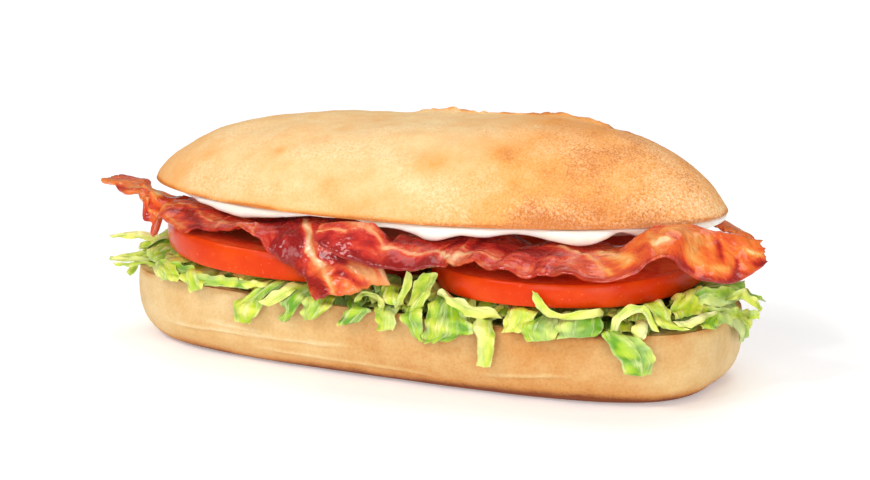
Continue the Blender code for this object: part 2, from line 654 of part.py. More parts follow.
def settle(points, shapes, clearance, rounds=60):
    """Moves a grid of points until it is clear of the shapes, as a limp sheet would, and says if it is."""
    rows, columns = points.shape[:2]
    grid = np.arange(rows * columns).reshape(rows, columns)
    pairs = [
        (grid, grid),
        (grid[1:], grid[:-1]),
        (grid[:, 1:], grid[:, :-1]),
        (grid[1:, 1:], grid[:-1, :-1]),
        (grid[1:, :-1], grid[:-1, 1:]),
    ]
    first = np.concatenate([a.ravel() for a, _ in pairs])
    second = np.concatenate([b.ravel() for _, b in pairs])
    flat = points.reshape(-1, 3).copy()
    for _ in range(rounds):
        moves = push_out(0.5 * (flat[first] + flat[second]), shapes, clearance)
        moved = np.linalg.norm(moves, axis=1) > 0
        if not moved.any():
            return flat.reshape(points.shape), True
        total = np.zeros_like(flat)
        weight = np.zeros((len(flat), 1))
        for ends in (first[moved], second[moved]):
            np.add.at(total, ends, moves[moved])
            np.add.at(weight, ends, 1)
        shift = (total / np.maximum(weight, 1)).reshape(points.shape)
        padded = np.pad(shift, ((1, 1), (1, 1), (0, 0)), mode="edge")
        around = (padded[:-2, 1:-1] + padded[2:, 1:-1] + padded[1:-1, :-2] + padded[1:-1, 2:]) / 4
        held = weight.reshape(rows, columns, 1) > 0
        flat += np.where(held, shift, 0.5 * around).reshape(-1, 3)
    return flat.reshape(points.shape), False


def sheet_mesh(points, thickness):
    """A closed thin solid round a grid of points, with both faces split into the same triangles."""
    rows, columns = points.shape[:2]
    shape = bmesh.new()
    bmesh.ops.create_grid(shape, x_segments=rows - 1, y_segments=columns - 1, size=1)
    for vertex in shape.verts:
        i = round((vertex.co.x + 1) / 2 * (rows - 1))
        j = round((vertex.co.y + 1) / 2 * (columns - 1))
        vertex.co = Vector(points[i, j]) * MM
    bmesh.ops.triangulate(shape, faces=shape.faces, quad_method="ALTERNATE")
    mesh = bpy.data.meshes.new("sheet")
    shape.to_mesh(mesh)
    shape.free()
    sheet = bpy.data.objects.new("sheet", mesh)
    bpy.context.scene.collection.objects.link(sheet)
    solid = sheet.modifiers.new("Thickness", "SOLIDIFY")
    solid.thickness = thickness * MM
    solid.offset = 0
    return take_result(sheet)


def take_result(obj):
    """The object's mesh with its modifiers applied. The object itself is removed."""
    graph = bpy.context.evaluated_depsgraph_get()
    mesh = bpy.data.meshes.new_from_object(obj.evaluated_get(graph))
    bpy.data.objects.remove(obj)
    mesh.shade_smooth()
    return mesh


def rim_shreds(count):
    """Sizes of the smaller shreds, spread along the back of the heel's rim and varied by a seeded draw."""
    draw = random.Random(LETTUCE_SEED)
    start, end = LETTUCE_RIM_ARC
    for k in range(count):
        angle = math.radians(start + (end - start) * (k + draw.uniform(-0.3, 0.3)) / (count - 1))
        # The rim is long at the back, so the angle is stretched to spread the shreds evenly.
        angle = math.atan2(HEEL_HALF_WIDTH * math.sin(angle), HEEL_HALF_LENGTH * math.cos(angle))
        inset = LETTUCE_ROOT_INSET + draw.uniform(-1, 2)
        reach = plan_radius(angle, HEEL_HALF_LENGTH - inset, HEEL_HALF_WIDTH - inset, HEEL_SQUARENESS)
        x, y = reach * math.cos(angle), reach * math.sin(angle)
        outward = math.degrees(math.atan2(y / HEEL_HALF_WIDTH**2, x / HEEL_HALF_LENGTH**2))
        z = draw.uniform(21.5, 24)
        ceiling = under_tomatoes(x, y)
        yield (
            x,
            y,
            z if ceiling is None else min(z, ceiling - LETTUCE_THICKNESS - GAP),
            outward + draw.uniform(-35, 35),
            draw.uniform(-5, 25),
            draw.uniform(-110, -50),
            draw.uniform(-40, 40),
            draw.uniform(-30, 30),
            draw.uniform(11, 17),
            draw.uniform(6, 12),
            draw.uniform(0.8, 1.6),
        )


def lettuce_mesh(shapes):
    """The bed and the shreds, joined into one closed body."""
    heap = bpy.data.collections.new("lettuce shreds")
    bpy.context.scene.collection.children.link(heap)
    clearance = LETTUCE_THICKNESS / 2 + GAP + SHEET_SLACK
    shreds = [ribbon_points(stations) for stations in LETTUCE_RIBBONS]
    shreds += [shred_points(*sizes) for sizes in rim_shreds(LETTUCE_RIM_SHREDS)]
    for shred in shreds:
        points, clear = settle(shred, shapes, clearance)
        if clear:
            heap.objects.link(bpy.data.objects.new("shred", sheet_mesh(points, LETTUCE_THICKNESS)))
    bed = bpy.data.objects.new("bed", rounded_body(lettuce_bed_place, 40, 8, 0.6))
    bpy.context.scene.collection.objects.link(bed)
    union = bed.modifiers.new("Shreds", "BOOLEAN")
    union.operation = "UNION"
    union.operand_type = "COLLECTION"
    union.collection = heap
    union.solver = "MANIFOLD"
    mesh = take_result(bed)
    for obj in list(heap.objects):
        bpy.data.objects.remove(obj)
    bpy.data.collections.remove(heap)
    keep_largest(mesh)
    return mesh


def keep_largest(mesh):
    """Drops loose scraps and fills sealed hollows: only the largest connected surface stays."""
    shape = bmesh.new()
    shape.from_mesh(mesh)
    unseen = set(shape.verts)
    groups = []
    while unseen:
        group, edge = set(), {unseen.pop()}
        while edge:
            group |= edge
            near = {side.other_vert(vertex) for vertex in edge for side in vertex.link_edges}
            edge = near & unseen
            unseen -= edge
        groups.append(group)
    largest = max(groups, key=len)
    bmesh.ops.delete(shape, geom=[v for v in shape.verts if v not in largest], context="VERTS")
    bmesh.ops.triangulate(shape, faces=shape.faces)
    shape.to_mesh(mesh)
    shape.free()


def add_piece(collection, name, mesh, colour, roughness):
    """Adds a named piece with its own plain material to the sandwich."""
    material = bpy.data.materials.new(name)
    material.use_nodes = True
    shader = material.node_tree.nodes["Principled BSDF"]
    shader.inputs["Base Color"].default_value = (*colour, 1)
    shader.inputs["Roughness"].default_value = roughness
    mesh.materials.clear()
    mesh.materials.append(material)
    mesh.name = name
    collection.objects.link(bpy.data.objects.new(name, mesh))


def build_sandwich():
    """Builds every piece, the firm ones first, so that the soft ones can lie against them."""
    for obj in list(bpy.data.objects):
        bpy.data.objects.remove(obj)
    sandwich = bpy.data.collections.new("blt_sandwich")
    bpy.context.scene.collection.children.link(sandwich)

    crust = (0.75, 0.50, 0.26)
    firm = {
        "roll_heel": (rounded_body(heel_place, 48, 16, 0.55), (0.84, 0.66, 0.42), 0.75),
        "roll_crown": (rounded_body(crown_place, 48, 16, 0.55), crust, 0.7),
        "mayonnaise": (rounded_body(mayo_place, 48, 10, 0.55), (0.90, 0.87, 0.78), 0.3),
    }
    for name, sizes in TOMATO_SLICES.items():
        firm[name] = (rounded_body(tomato_place(sizes), 36, 8), (0.75, 0.08, 0.02), 0.25)
    for name, (mesh, colour, roughness) in firm.items():
        add_piece(sandwich, name, mesh, colour, roughness)
    shapes = [outside_heel, outside_crown, *map(outside_slice, TOMATO_SLICES.values())]

    for phase, (name, stations) in enumerate(BACON_ROUTES.items()):
        points, _ = settle(bacon_points(stations, phase), shapes, BACON_THICKNESS / 2 + GAP + SHEET_SLACK)
        add_piece(sandwich, name, sheet_mesh(points, BACON_THICKNESS), (0.45, 0.10, 0.05), 0.35)
        shapes.append(outside_sheet(points, BACON_THICKNESS))

    add_piece(sandwich, "lettuce", lettuce_mesh(shapes), (0.45, 0.62, 0.16), 0.45)


build_sandwich()
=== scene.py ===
import math
import random

import bmesh
import bpy
import numpy as np
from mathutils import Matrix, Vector, noise
from mathutils.bvhtree import BVHTree


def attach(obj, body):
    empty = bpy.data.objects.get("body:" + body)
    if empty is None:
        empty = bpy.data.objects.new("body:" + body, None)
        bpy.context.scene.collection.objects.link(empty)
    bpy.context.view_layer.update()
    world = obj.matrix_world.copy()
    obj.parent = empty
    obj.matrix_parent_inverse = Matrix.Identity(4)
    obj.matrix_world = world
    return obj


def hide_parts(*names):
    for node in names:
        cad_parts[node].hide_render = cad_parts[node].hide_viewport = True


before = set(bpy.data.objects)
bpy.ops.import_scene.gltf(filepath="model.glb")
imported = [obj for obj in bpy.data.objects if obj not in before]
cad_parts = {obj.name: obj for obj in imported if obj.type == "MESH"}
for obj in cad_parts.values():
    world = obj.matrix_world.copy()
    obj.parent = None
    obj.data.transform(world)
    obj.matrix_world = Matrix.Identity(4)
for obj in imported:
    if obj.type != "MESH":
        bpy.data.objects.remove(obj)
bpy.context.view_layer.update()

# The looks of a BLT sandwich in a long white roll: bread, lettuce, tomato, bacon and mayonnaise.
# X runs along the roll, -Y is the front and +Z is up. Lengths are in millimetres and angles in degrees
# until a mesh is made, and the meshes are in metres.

MM = 0.001
# Clear space between neighbours, and the extra room that a settled sheet is given
GAP = 0.4
SHEET_SLACK = 0.3
# Edges sharper than this, in degrees, aren't shaded smooth
SHARP_ANGLE = 60

# The camera: degrees round from the front and up, distance, lens, sensor and the point it looks at
CAMERA_AZIMUTH = 27.0
CAMERA_ELEVATION = 13.5
CAMERA_DISTANCE = 900.0
CAMERA_LENS = 134.48
CAMERA_SENSOR = 36
CAMERA_TARGET = (0.5, 0.0, 32.4)
# The same camera in the photograph's frame: its middle and its focal length, in pixels
PHOTO_MIDDLE = (435, 240)
PHOTO_FOCAL = 3250
# Where the heel's side may be met along a line of sight: nearest, furthest and how many places are tried
SIGHT_PLACES = (700, 1100, 8001)

# The heel, as the solid has it
HEEL_HALF_LENGTH = 87.5
HEEL_HALF_WIDTH = 36.0
HEEL_SQUARENESS = 3.2
HEEL_PLAN = (HEEL_HALF_LENGTH, HEEL_HALF_WIDTH, HEEL_SQUARENESS)
HEEL_HEIGHT = 19.0
HEEL_FOOT_INSET = 9.0
HEEL_SWELL = 0.8
# How much higher its visible rim curls than the solid's
HEEL_RIM_RISE = 1.3
# Relief of its crust, in layers: height, size, seed and octaves of each
HEEL_SKIN = ((0.30, 8, 4, 2), (0.05, 1.6, 5, 1))
HEEL_CRUMB_RELIEF = 0.25
# Points around it, and rows of them across its foot, up its side and across its cut face
HEEL_COLUMNS = 620
HEEL_FOOT_ROWS = 9
HEEL_SIDE_ROWS = 44
HEEL_FACE_ROWS = 25
# Its crust from pale to brown
HEEL_BAKES = ((0.84, 0.65, 0.37), (0.72, 0.47, 0.20), (0.60, 0.27, 0.075), (0.22, 0.05, 0.008))
# Shallow creases in its side: where one starts and ends along X, its height there, and how tall it is
HEEL_CREASES = (
    (-72, -4, 7.6, 9.6, 0.40),
    (-58, -30, 10.4, 9.6, 0.25),
    (30, 60, 6.4, 8.8, 0.40),
    (-40, 20, 5.2, 4.6, 0.20),
)
HEEL_CREASE_FADE = 10
# Where it is browner: the height of a strip along its foot, and stretches of its front, each with its
# middle, its half-width and how much browner it is
HEEL_BROWN_FOOT = 4.4
HEEL_BROWN_FRONT = ((5, 50, 0.18), (56, 26, 0.22))

# The crown, as the solid has it
CROWN_HALF_LENGTH = 85.0
CROWN_HALF_WIDTH = 35.2
CROWN_SQUARENESS = 1.95
CROWN_PLAN = (CROWN_HALF_LENGTH, CROWN_HALF_WIDTH, CROWN_SQUARENESS)
CROWN_HEIGHT = 20.6
CROWN_RISE_TO_RIGHT = 0.165
CROWN_RISE_TO_ENDS = 0.24
CROWN_RIM_POWER = 3.3
CROWN_BLUNT_LEFT = 0.6
CROWN_DOME_POWER = 1.18
CROWN_CUT_Z = 45.9
CROWN_TILT = 1.1
CROWN_ROLL = 1.4
CROWN_YAW = 2.9
CROWN_RELIEF = 0.8
# Points around it, and rows of them across its cut face and over its dome
CROWN_COLUMNS = 560
CROWN_FACE_ROWS = 11
CROWN_DOME_ROWS = 96
# Relief and mottling of its crust, in layers: height, size, seed and octaves of each
CROWN_SKIN = ((0.28, 9, 12, 2), (0.06, 1.8, 13, 2))
CROWN_MOTTLE = ((0.07, 16, 17, 2), (0.07, 4, 18, 2))
# Its crust from pale to brown
CROWN_BAKES = ((0.93, 0.665, 0.335), (0.90, 0.505, 0.195), (0.88, 0.36, 0.08), (0.60, 0.18, 0.03))
# Dimples in the dome: x, y, radius, depth
CROWN_DIMPLES = (
    (-30, -17, 4.5, 0.5),
    (-8, -24, 5.0, 0.5),
    (6, -20, 4.0, 0.6),
    (10, -27, 3.5, 0.4),
    (-52, -8, 5.0, 0.5),
    (34, -14, 4.0, 0.4),
    (48, 12, 5.0, 0.5),
    (-20, 18, 5.0, 0.5),
)
# Browner spots on it: x, y, size, how much browner
CROWN_SPOTS = (
    (-37, -21, 2.5, 0.30),
    (-17, -30, 3, 0.22),
    (10, -25, 6, 0.28),
    (30, -20, 5, 0.22),
    (-60, -16, 3, 0.15),
)
# Where its right half turns browner, from and to along X
CROWN_BROWN_RIGHT = (5, 55)
# Where it turns browner along X, and where painted shade makes it paler at the top and darker low down, as
# shares of its height: from, to and how much
CROWN_BROWN_ALONG = ((*CROWN_BROWN_RIGHT, 0.10), (10, 50, 0.12), (-50, -80, 0.10))
CROWN_SHADE_BY_HEIGHT = ((0.7, 1.0, -0.03), (0.5, 0.0, 0.10))
# Browner patches: middle and half-width along X, the same as shares of its height, and how much browner
CROWN_PATCHES = ((52, 20, 0.12, 0.22, 0.54), (10, 40, 0.1, 0.3, 0.07))
# More flour towards the right: from and to along X, and how much more
CROWN_FLOUR = ((20, 70, 0.54), (58, 78, 0.36))
# The torn slash along the top: its ends along X, its distance back from the middle, its half-width, the
# height of its lip, its depth, and how far it takes to fade in at its left and right ends
SLASH_ENDS = (-16.0, 66.0)
SLASH_BACK = 11.0
SLASH_HALF_WIDTH = 3.0
SLASH_LIP = 1.0
SLASH_DEPTH = 0.8
SLASH_FADES = (20, 18)
# Where its lip stands higher: from and to along X and by how much, and how far that takes to fade in
SLASH_CRESTS = ((-12, 4, 0.6), (27, 49, 1.0))
SLASH_CREST_FADES = (6, 2)

# Tomato slices: centre x, centre y, underside z, rise along x, rise along y, radius, thickness
TOMATO_SLICES = {
    "tomato_slice_left": (-41.0, -1.5, 24.6, -0.070, -0.060, 38.0, 7.6),
    "tomato_slice_right": (41.5, -1.5, 27.4, 0.010, 0.000, 37.2, 6.4),
}
TOMATO_LOBES = 5
TOMATO_LOBE_DEPTH = 0.012
TOMATO_SKIN_ROUND = 1.0
TOMATO_PRESS_REACH = 6.0
# The ring of seed chambers, as shares of the radius: its middle and half-width, and where the wall starts
TOMATO_CHAMBERS = (0.52, 0.24)
TOMATO_WALL = 0.80
TOMATO_GEL_SINK = 0.35
# Points around a slice, and rows of them across each cut face and round its skin
TOMATO_COLUMNS = 300
TOMATO_FACE_ROWS = 33
TOMATO_SKIN_ROWS = 22
TOMATO_SEED = 30

# Mayonnaise
MAYO_THICKNESS = 2.2
MAYO_INSET = 0.9
MAYO_EDGE_WAVE = 0.5
MAYO_RIDGE_DEPTH = 7.0
MAYO_RIDGE_HALF_LENGTH = 80.0
MAYO_RIDGE_HALF_WIDTH = 5.5
# Drips of its front edge, as the solid has them: distance along the crown, half-width and depth
MAYO_DRIPS = ((-46, 13, 1.2), (14, 6, 1.3), (32, 6, 1.5), (54, 9, 1.7), (73, 7, 2.0))
MAYO_DRIP_FORWARD = 0.6
MAYO_FRONT_FADE = 12
# Points around it, and rows of them across its underside, round its edge and across its top
MAYO_COLUMNS = 480
MAYO_UNDER_ROWS = 27
MAYO_EDGE_ROWS = 16
MAYO_TOP_ROWS = 7
# Where its front edge is thin and stays further back: distance along the crown, half-width and how much so
MAYO_BARE = ((-18, 13, 1.3), (-77, 15, 1), (3, 4, 0.3), (38, 8, 0.5), (66, 4, 0.8))
MAYO_BARE_SETBACK = 2.4
MAYO_BARE_THINNING = 0.75
# Drips that hang deeper than the solid's: distance along the crown, half-width and how much deeper
MAYO_FALLS = ((-47, 6, 0.6), (15.5, 4.5, 0.9), (55, 6.5, 1.3), (76, 5, 0.9))
MAYO_FALL_FORWARD = 0.5

# Bacon
BACON_THICKNESS = 1.7
BACON_FULL_WIDTH = 30.0
BACON_RIPPLE_LENGTH = 9.0
BACON_RIPPLE_HEIGHT = 0.9
BACON_WAVE_LENGTH = 27.0
BACON_WAVE_HEIGHT = 2.6
# The way each strip lies, station by station: x, y and z, the droop there and how much more it droops from
# edge to edge, and how far it reaches inwards and outwards
BACON_ROUTES = {
    "bacon_front_left": (
        (-98, -14, 42.8, 4, 10, 5, 3),
        (-91, -16, 42.8, 4, 10, 9, 4),
        (-84, -18, 42.0, 6, 15, 9, 6),
        (-79.5, -19, 41.6, 8, 15, 9, 5.5),
        (-76, -20.5, 41.2, 16, 20, 10, 6.5),
        (-73.2, -21, 40.4, 54, 50, 10, 15),
        (-70.5, -21.5, 40.6, 24, 30, 10, 10),
        (-66, -22.5, 41.0, 12, 15, 10, 11),
        (-54, -26, 39.5, 14, 25, 14, 12),
        (-45, -27, 41.0, 8, 20, 15, 12),
        (-36, -28, 41.5, 3, 5, 17, 12),
        (-28, -30.5, 41.2, 22, 40, 14, 12),
        (-20, -33.5, 39.0, 42, 50, 10, 11),
        (-13, -36, 35.5, 52, 32, 8.5, 11),
        (-9, -38, 32.0, 50, 10, 10, 11),
        (-6, -39.8, 28.6, 38, -10, 12, 10.5),
        (-4.4, -41, 24.6, 22, -24, 13, 9.5),
    ),
    "bacon_front_right": (
        (-15, -42.5, 42.0, 50, 10, 3, 2),
        (-8, -42.5, 41.5, 48, 15, 5.5, 5),
        (0, -41.5, 40.7, 40, 30, 7, 7.2),
        (8, -39, 39.9, 29, 36, 9, 9),
        (15, -35, 39.9, 16, 34, 14, 10.5),
        (21, -31, 40.0, 12, 25, 18, 12),
        (32, -30, 40.2, 4, 20, 18, 12),
        (41, -30, 39.8, 8, 25, 18, 12),
        (50, -29, 39.5, 10, 30, 18, 12),
        (59, -29, 40.3, 6, 20, 18, 12),
        (67, -28, 41.2, 16, 35, 18, 12),
        (74, -26, 45.0, 14, 45, 16, 11.5),
        (81, -24, 47.4, 12, 70, 13, 9),
        (88, -21, 44.6, 45, 50, 8.5, 9),
        (94, -17, 42.6, 62, 20, 6.8, 8.8),
        (98.5, -12, 42.2, 66, 10, 4.5, 6),
        (102, -8, 42.9, 70, 0, 3, 3.5),
    ),
    "bacon_back_left": (
        (-4, 36, 38.5, 55, 30, 13, 9),
        (-15, 31, 40.0, 24, 20, 18, 12),
        (-28, 28, 39.5, 16, 30, 18, 12),
        (-41, 27, 40.0, 10, 20, 18, 12),
        (-54, 25, 39.0, 24, 30, 14, 12),
        (-67, 21, 40.5, 8, 20, 11, 12),
        (-79, 14, 39.0, 20, 30, 7, 10),
        (-88, 8, 39.5, 10, 10, 6, 6),
    ),
    "bacon_back_right": (
        (85, 12, 41.0, 20, 10, 7, 6),
        (77, 20, 41.0, 24, 30, 9, 11),
        (66, 25, 41.0, 10, 20, 12, 12),
        (53, 28, 39.5, 24, 30, 15, 12),
        (40, 29, 40.5, 8, 20, 18, 12),
        (27, 31, 39.5, 28, 30, 18, 12),
        (16, 35, 36.5, 62, 30, 17, 11),
        (9, 38, 31.0, 78, 10, 15, 10),
    ),
}
# Readings of the curve between two stations, and the size of the coarse grid that is settled
ROUTE_READINGS = 12
BACON_ROWS_PER_STATION = 3
BACON_GRID_ACROSS = 5
# How many places along and across a strip are tried to find a pixel on it, how near in pixels one has to
# be, and how much nearer to the camera is worth being off by a pixel, in millimetres
STRIP_PLACES = (600, 90)
STRIP_NEAR = (2.0, 0.5)
STRIP_OFF_COST = 0.5
# How close the points of the fine mesh are, and how far its edges are rounded
BACON_SPACING = 0.45
BACON_EDGE_ROUND = 0.9
# How ragged the long edges are, and how many times as ragged the ends are
BACON_RAGGED = 1.1
BACON_END_RAGGED = 2.2
BACON_SEED = 40
# Thickness of lean, how much thicker fat is, and the width of the crisp edge
BACON_LEAN_THICKNESS = 1.15
BACON_FAT_THICKER = 0.45
BACON_CRISP_EDGE = 1.6
# Where it turns from red to fried orange: from and to along X from the middle, and from which height down
# to which
BACON_ORANGE_ENDS = (48, 74)
BACON_ORANGE_LOW = (35, 28)
# Colours from darkest lean to palest fat, where it is red and where it is fried orange
BACON_TONES = (
    (0.04, (0.30, 0.010, 0.008)),
    (0.24, (0.53, 0.024, 0.016)),
    (0.38, (0.66, 0.055, 0.025)),
    (0.50, (0.77, 0.15, 0.050)),
    (0.64, (0.82, 0.31, 0.13)),
    (0.84, (0.88, 0.46, 0.22)),
    (0.98, (0.95, 0.66, 0.38)),
)
BACON_FRIED_TONES = (
    (0.04, (0.34, 0.014, 0.006)),
    (0.24, (0.60, 0.045, 0.014)),
    (0.40, (0.76, 0.10, 0.018)),
    (0.56, (0.83, 0.20, 0.030)),
    (0.80, (0.89, 0.37, 0.09)),
    (0.98, (0.95, 0.60, 0.27)),
)
# Cuts in a strip's outer edge: distance along it, half-width, depth
BACON_NOTCHES = {"bacon_front_left": ((18.0, 1.8, 2.5), (28.4, 1.6, 5.0))}
# Streaks of fat and lean that the photograph shows, one of them partly painted shade and one partly painted
# highlight: how fat each is, with lean below zero, its half-width, and the pixels of the photograph that it
# runs through
BACON_STREAKS_SEEN = {
    "bacon_front_left": (
        (0.55, 4, (101, 183), (135, 188), (160, 198)),
        (-0.7, 0.9, (112, 184), (135, 189), (150, 194)),
        (1.2, 1.6, (155, 186), (160, 196)),
        (0.9, 0.9, (128, 198), (150, 206), (165, 208)),
        (0.9, 0.9, (165, 207), (182, 204), (195, 208), (203, 217), (217, 222)),
        (-1, 1.8, (163, 200), (175, 197), (203, 200)),
        (-1.1, 2, (172, 210), (190, 210), (197, 222), (200, 228)),
        (0.2, 1.8, (160, 214), (152, 224), (147, 236)),
        (0.7, 0.8, (166, 217), (180, 226), (190, 230)),
        # The orange line along the crest is partly fat and partly a painted highlight
        (0.6, 0.7, (216, 228), (222, 221), (235, 216), (249, 220), (256, 228)),
        (1, 1.1, (256, 213), (260, 211)),
        (-1.2, 5, (270, 222), (288, 230), (300, 245)),
        (-1.2, 2.6, (277, 244), (290, 262), (312, 282), (326, 296)),
        (1.5, 1.4, (304, 221), (310, 235), (309, 250), (319, 263), (326, 277), (333, 292)),
        (-1.4, 1.8, (322, 256), (343, 262)),
        (-1.3, 1.6, (341, 274), (352, 280)),
        (-1.1, 1.3, (356, 284), (366, 283)),
        (0.6, 1.8, (333, 299), (349, 300), (361, 290), (391, 284)),
        (1, 1.6, (384, 268), (392, 282)),
        (0.8, 1.8, (352, 270), (372, 276)),
    ),
    "bacon_front_right": (
        (0.5, 1.2, (313, 228), (326, 221), (345, 223), (364, 228)),
        (0.9, 0.7, (319, 231), (332, 230), (345, 232)),
        (-1.1, 2.8, (326, 240), (345, 252), (366, 262), (400, 266), (430, 263)),
        (-0.8, 2, (350, 238), (372, 246)),
        (0.9, 1, (368, 230), (380, 241), (396, 250), (415, 254), (440, 254)),
        # Partly lean and partly painted shade: a darker band where the bacon lies in the mayonnaise's shadow
        (-0.7, 2, (382, 228), (396, 240), (430, 244)),
        (1.5, 1.5, (442, 256), (450, 261), (458, 256), (470, 253)),
        (1, 0.9, (470, 255), (488, 258), (500, 260)),
        (-1.1, 2.2, (452, 246), (463, 240)),
        (-1.1, 2.2, (476, 248), (485, 240)),
        (0.7, 0.5, (464, 250), (471, 239)),
        (-1, 3, (500, 248), (530, 252), (558, 256)),
        (-1.2, 1.4, (538, 268), (560, 268)),
        (1, 1.1, (562, 247), (580, 254), (596, 262), (606, 271), (612, 277)),
        (1.1, 2.4, (602, 254), (616, 257), (629, 262)),
        (-1, 2.2, (634, 272), (650, 264), (674, 262), (690, 268)),
        (0.8, 3.4, (652, 241), (666, 233), (683, 229), (694, 245), (690, 258)),
        (1.5, 1, (656, 243), (668, 240)),
        (0.35, 6, (702, 245), (725, 250), (750, 252), (765, 252)),
        (-1.3, 1.2, (716, 241), (722, 257)),
        (0.8, 1.2, (714, 270), (730, 268)),
        (-1.7, 1.3, (702, 278), (715, 285), (730, 284), (738, 277)),
        (-1.2, 1.1, (752, 261), (764, 262)),
        (1.2, 0.9, (748, 251), (763, 254)),
    ),
}
# Streaks that are set freely, their places as shares of the strip's length and width
BACON_STREAKS = {
    "bacon_front_left": (
        (-1.2, 1.5, (0.90, 0.20), (0.93, 0.12)),
        (0.55, 7, (0.86, 0.42), (0.97, 0.30)),
        (0.5, 2.5, (0.74, 0.40), (0.80, 0.60)),
        (-0.8, 1.0, (0.225, 0.7), (0.25, 1.0)),
    ),
    "bacon_front_right": (
        (-1.2, 0.7, (0.927, 0.87), (0.925, 0.5)),
    ),
    "bacon_back_left": (
        (1, 2.2, (0, 0.85), (0.28, 0.8)),
        (1, 1.8, (0.1, 0.5), (0.4, 0.45), (0.7, 0.55)),
        (0.9, 2.2, (0.5, 0.9), (0.9, 0.85)),
        (0.8, 4, (0.95, 0.5), (1, 0.5)),
        (-0.9, 4, (0.1, 0.3), (0.6, 0.25)),
    ),
    "bacon_back_right": (
        (0.8, 5, (0, 0.5), (0.06, 0.5)),
        (1, 2.2, (0.1, 0.88), (0.55, 0.85)),
        (1, 1.8, (0.35, 0.45), (0.85, 0.4)),
        (0.9, 2.6, (0.85, 0.8), (1, 0.75)),
        (-0.9, 4, (0.2, 0.6), (0.7, 0.65)),
    ),
}

# Lettuce
LETTUCE_BED_TOP = 27.0
LETTUCE_BED_WAVE = 1.0
LETTUCE_THICKNESS = 0.9
LETTUCE_GRID = (4, 2)
LETTUCE_SEED = 5
LETTUCE_ROOT_REACH = 8.0
LETTUCE_ROOT_HEIGHTS = (21.5, 24.0)
LETTUCE_CURL = 0.12
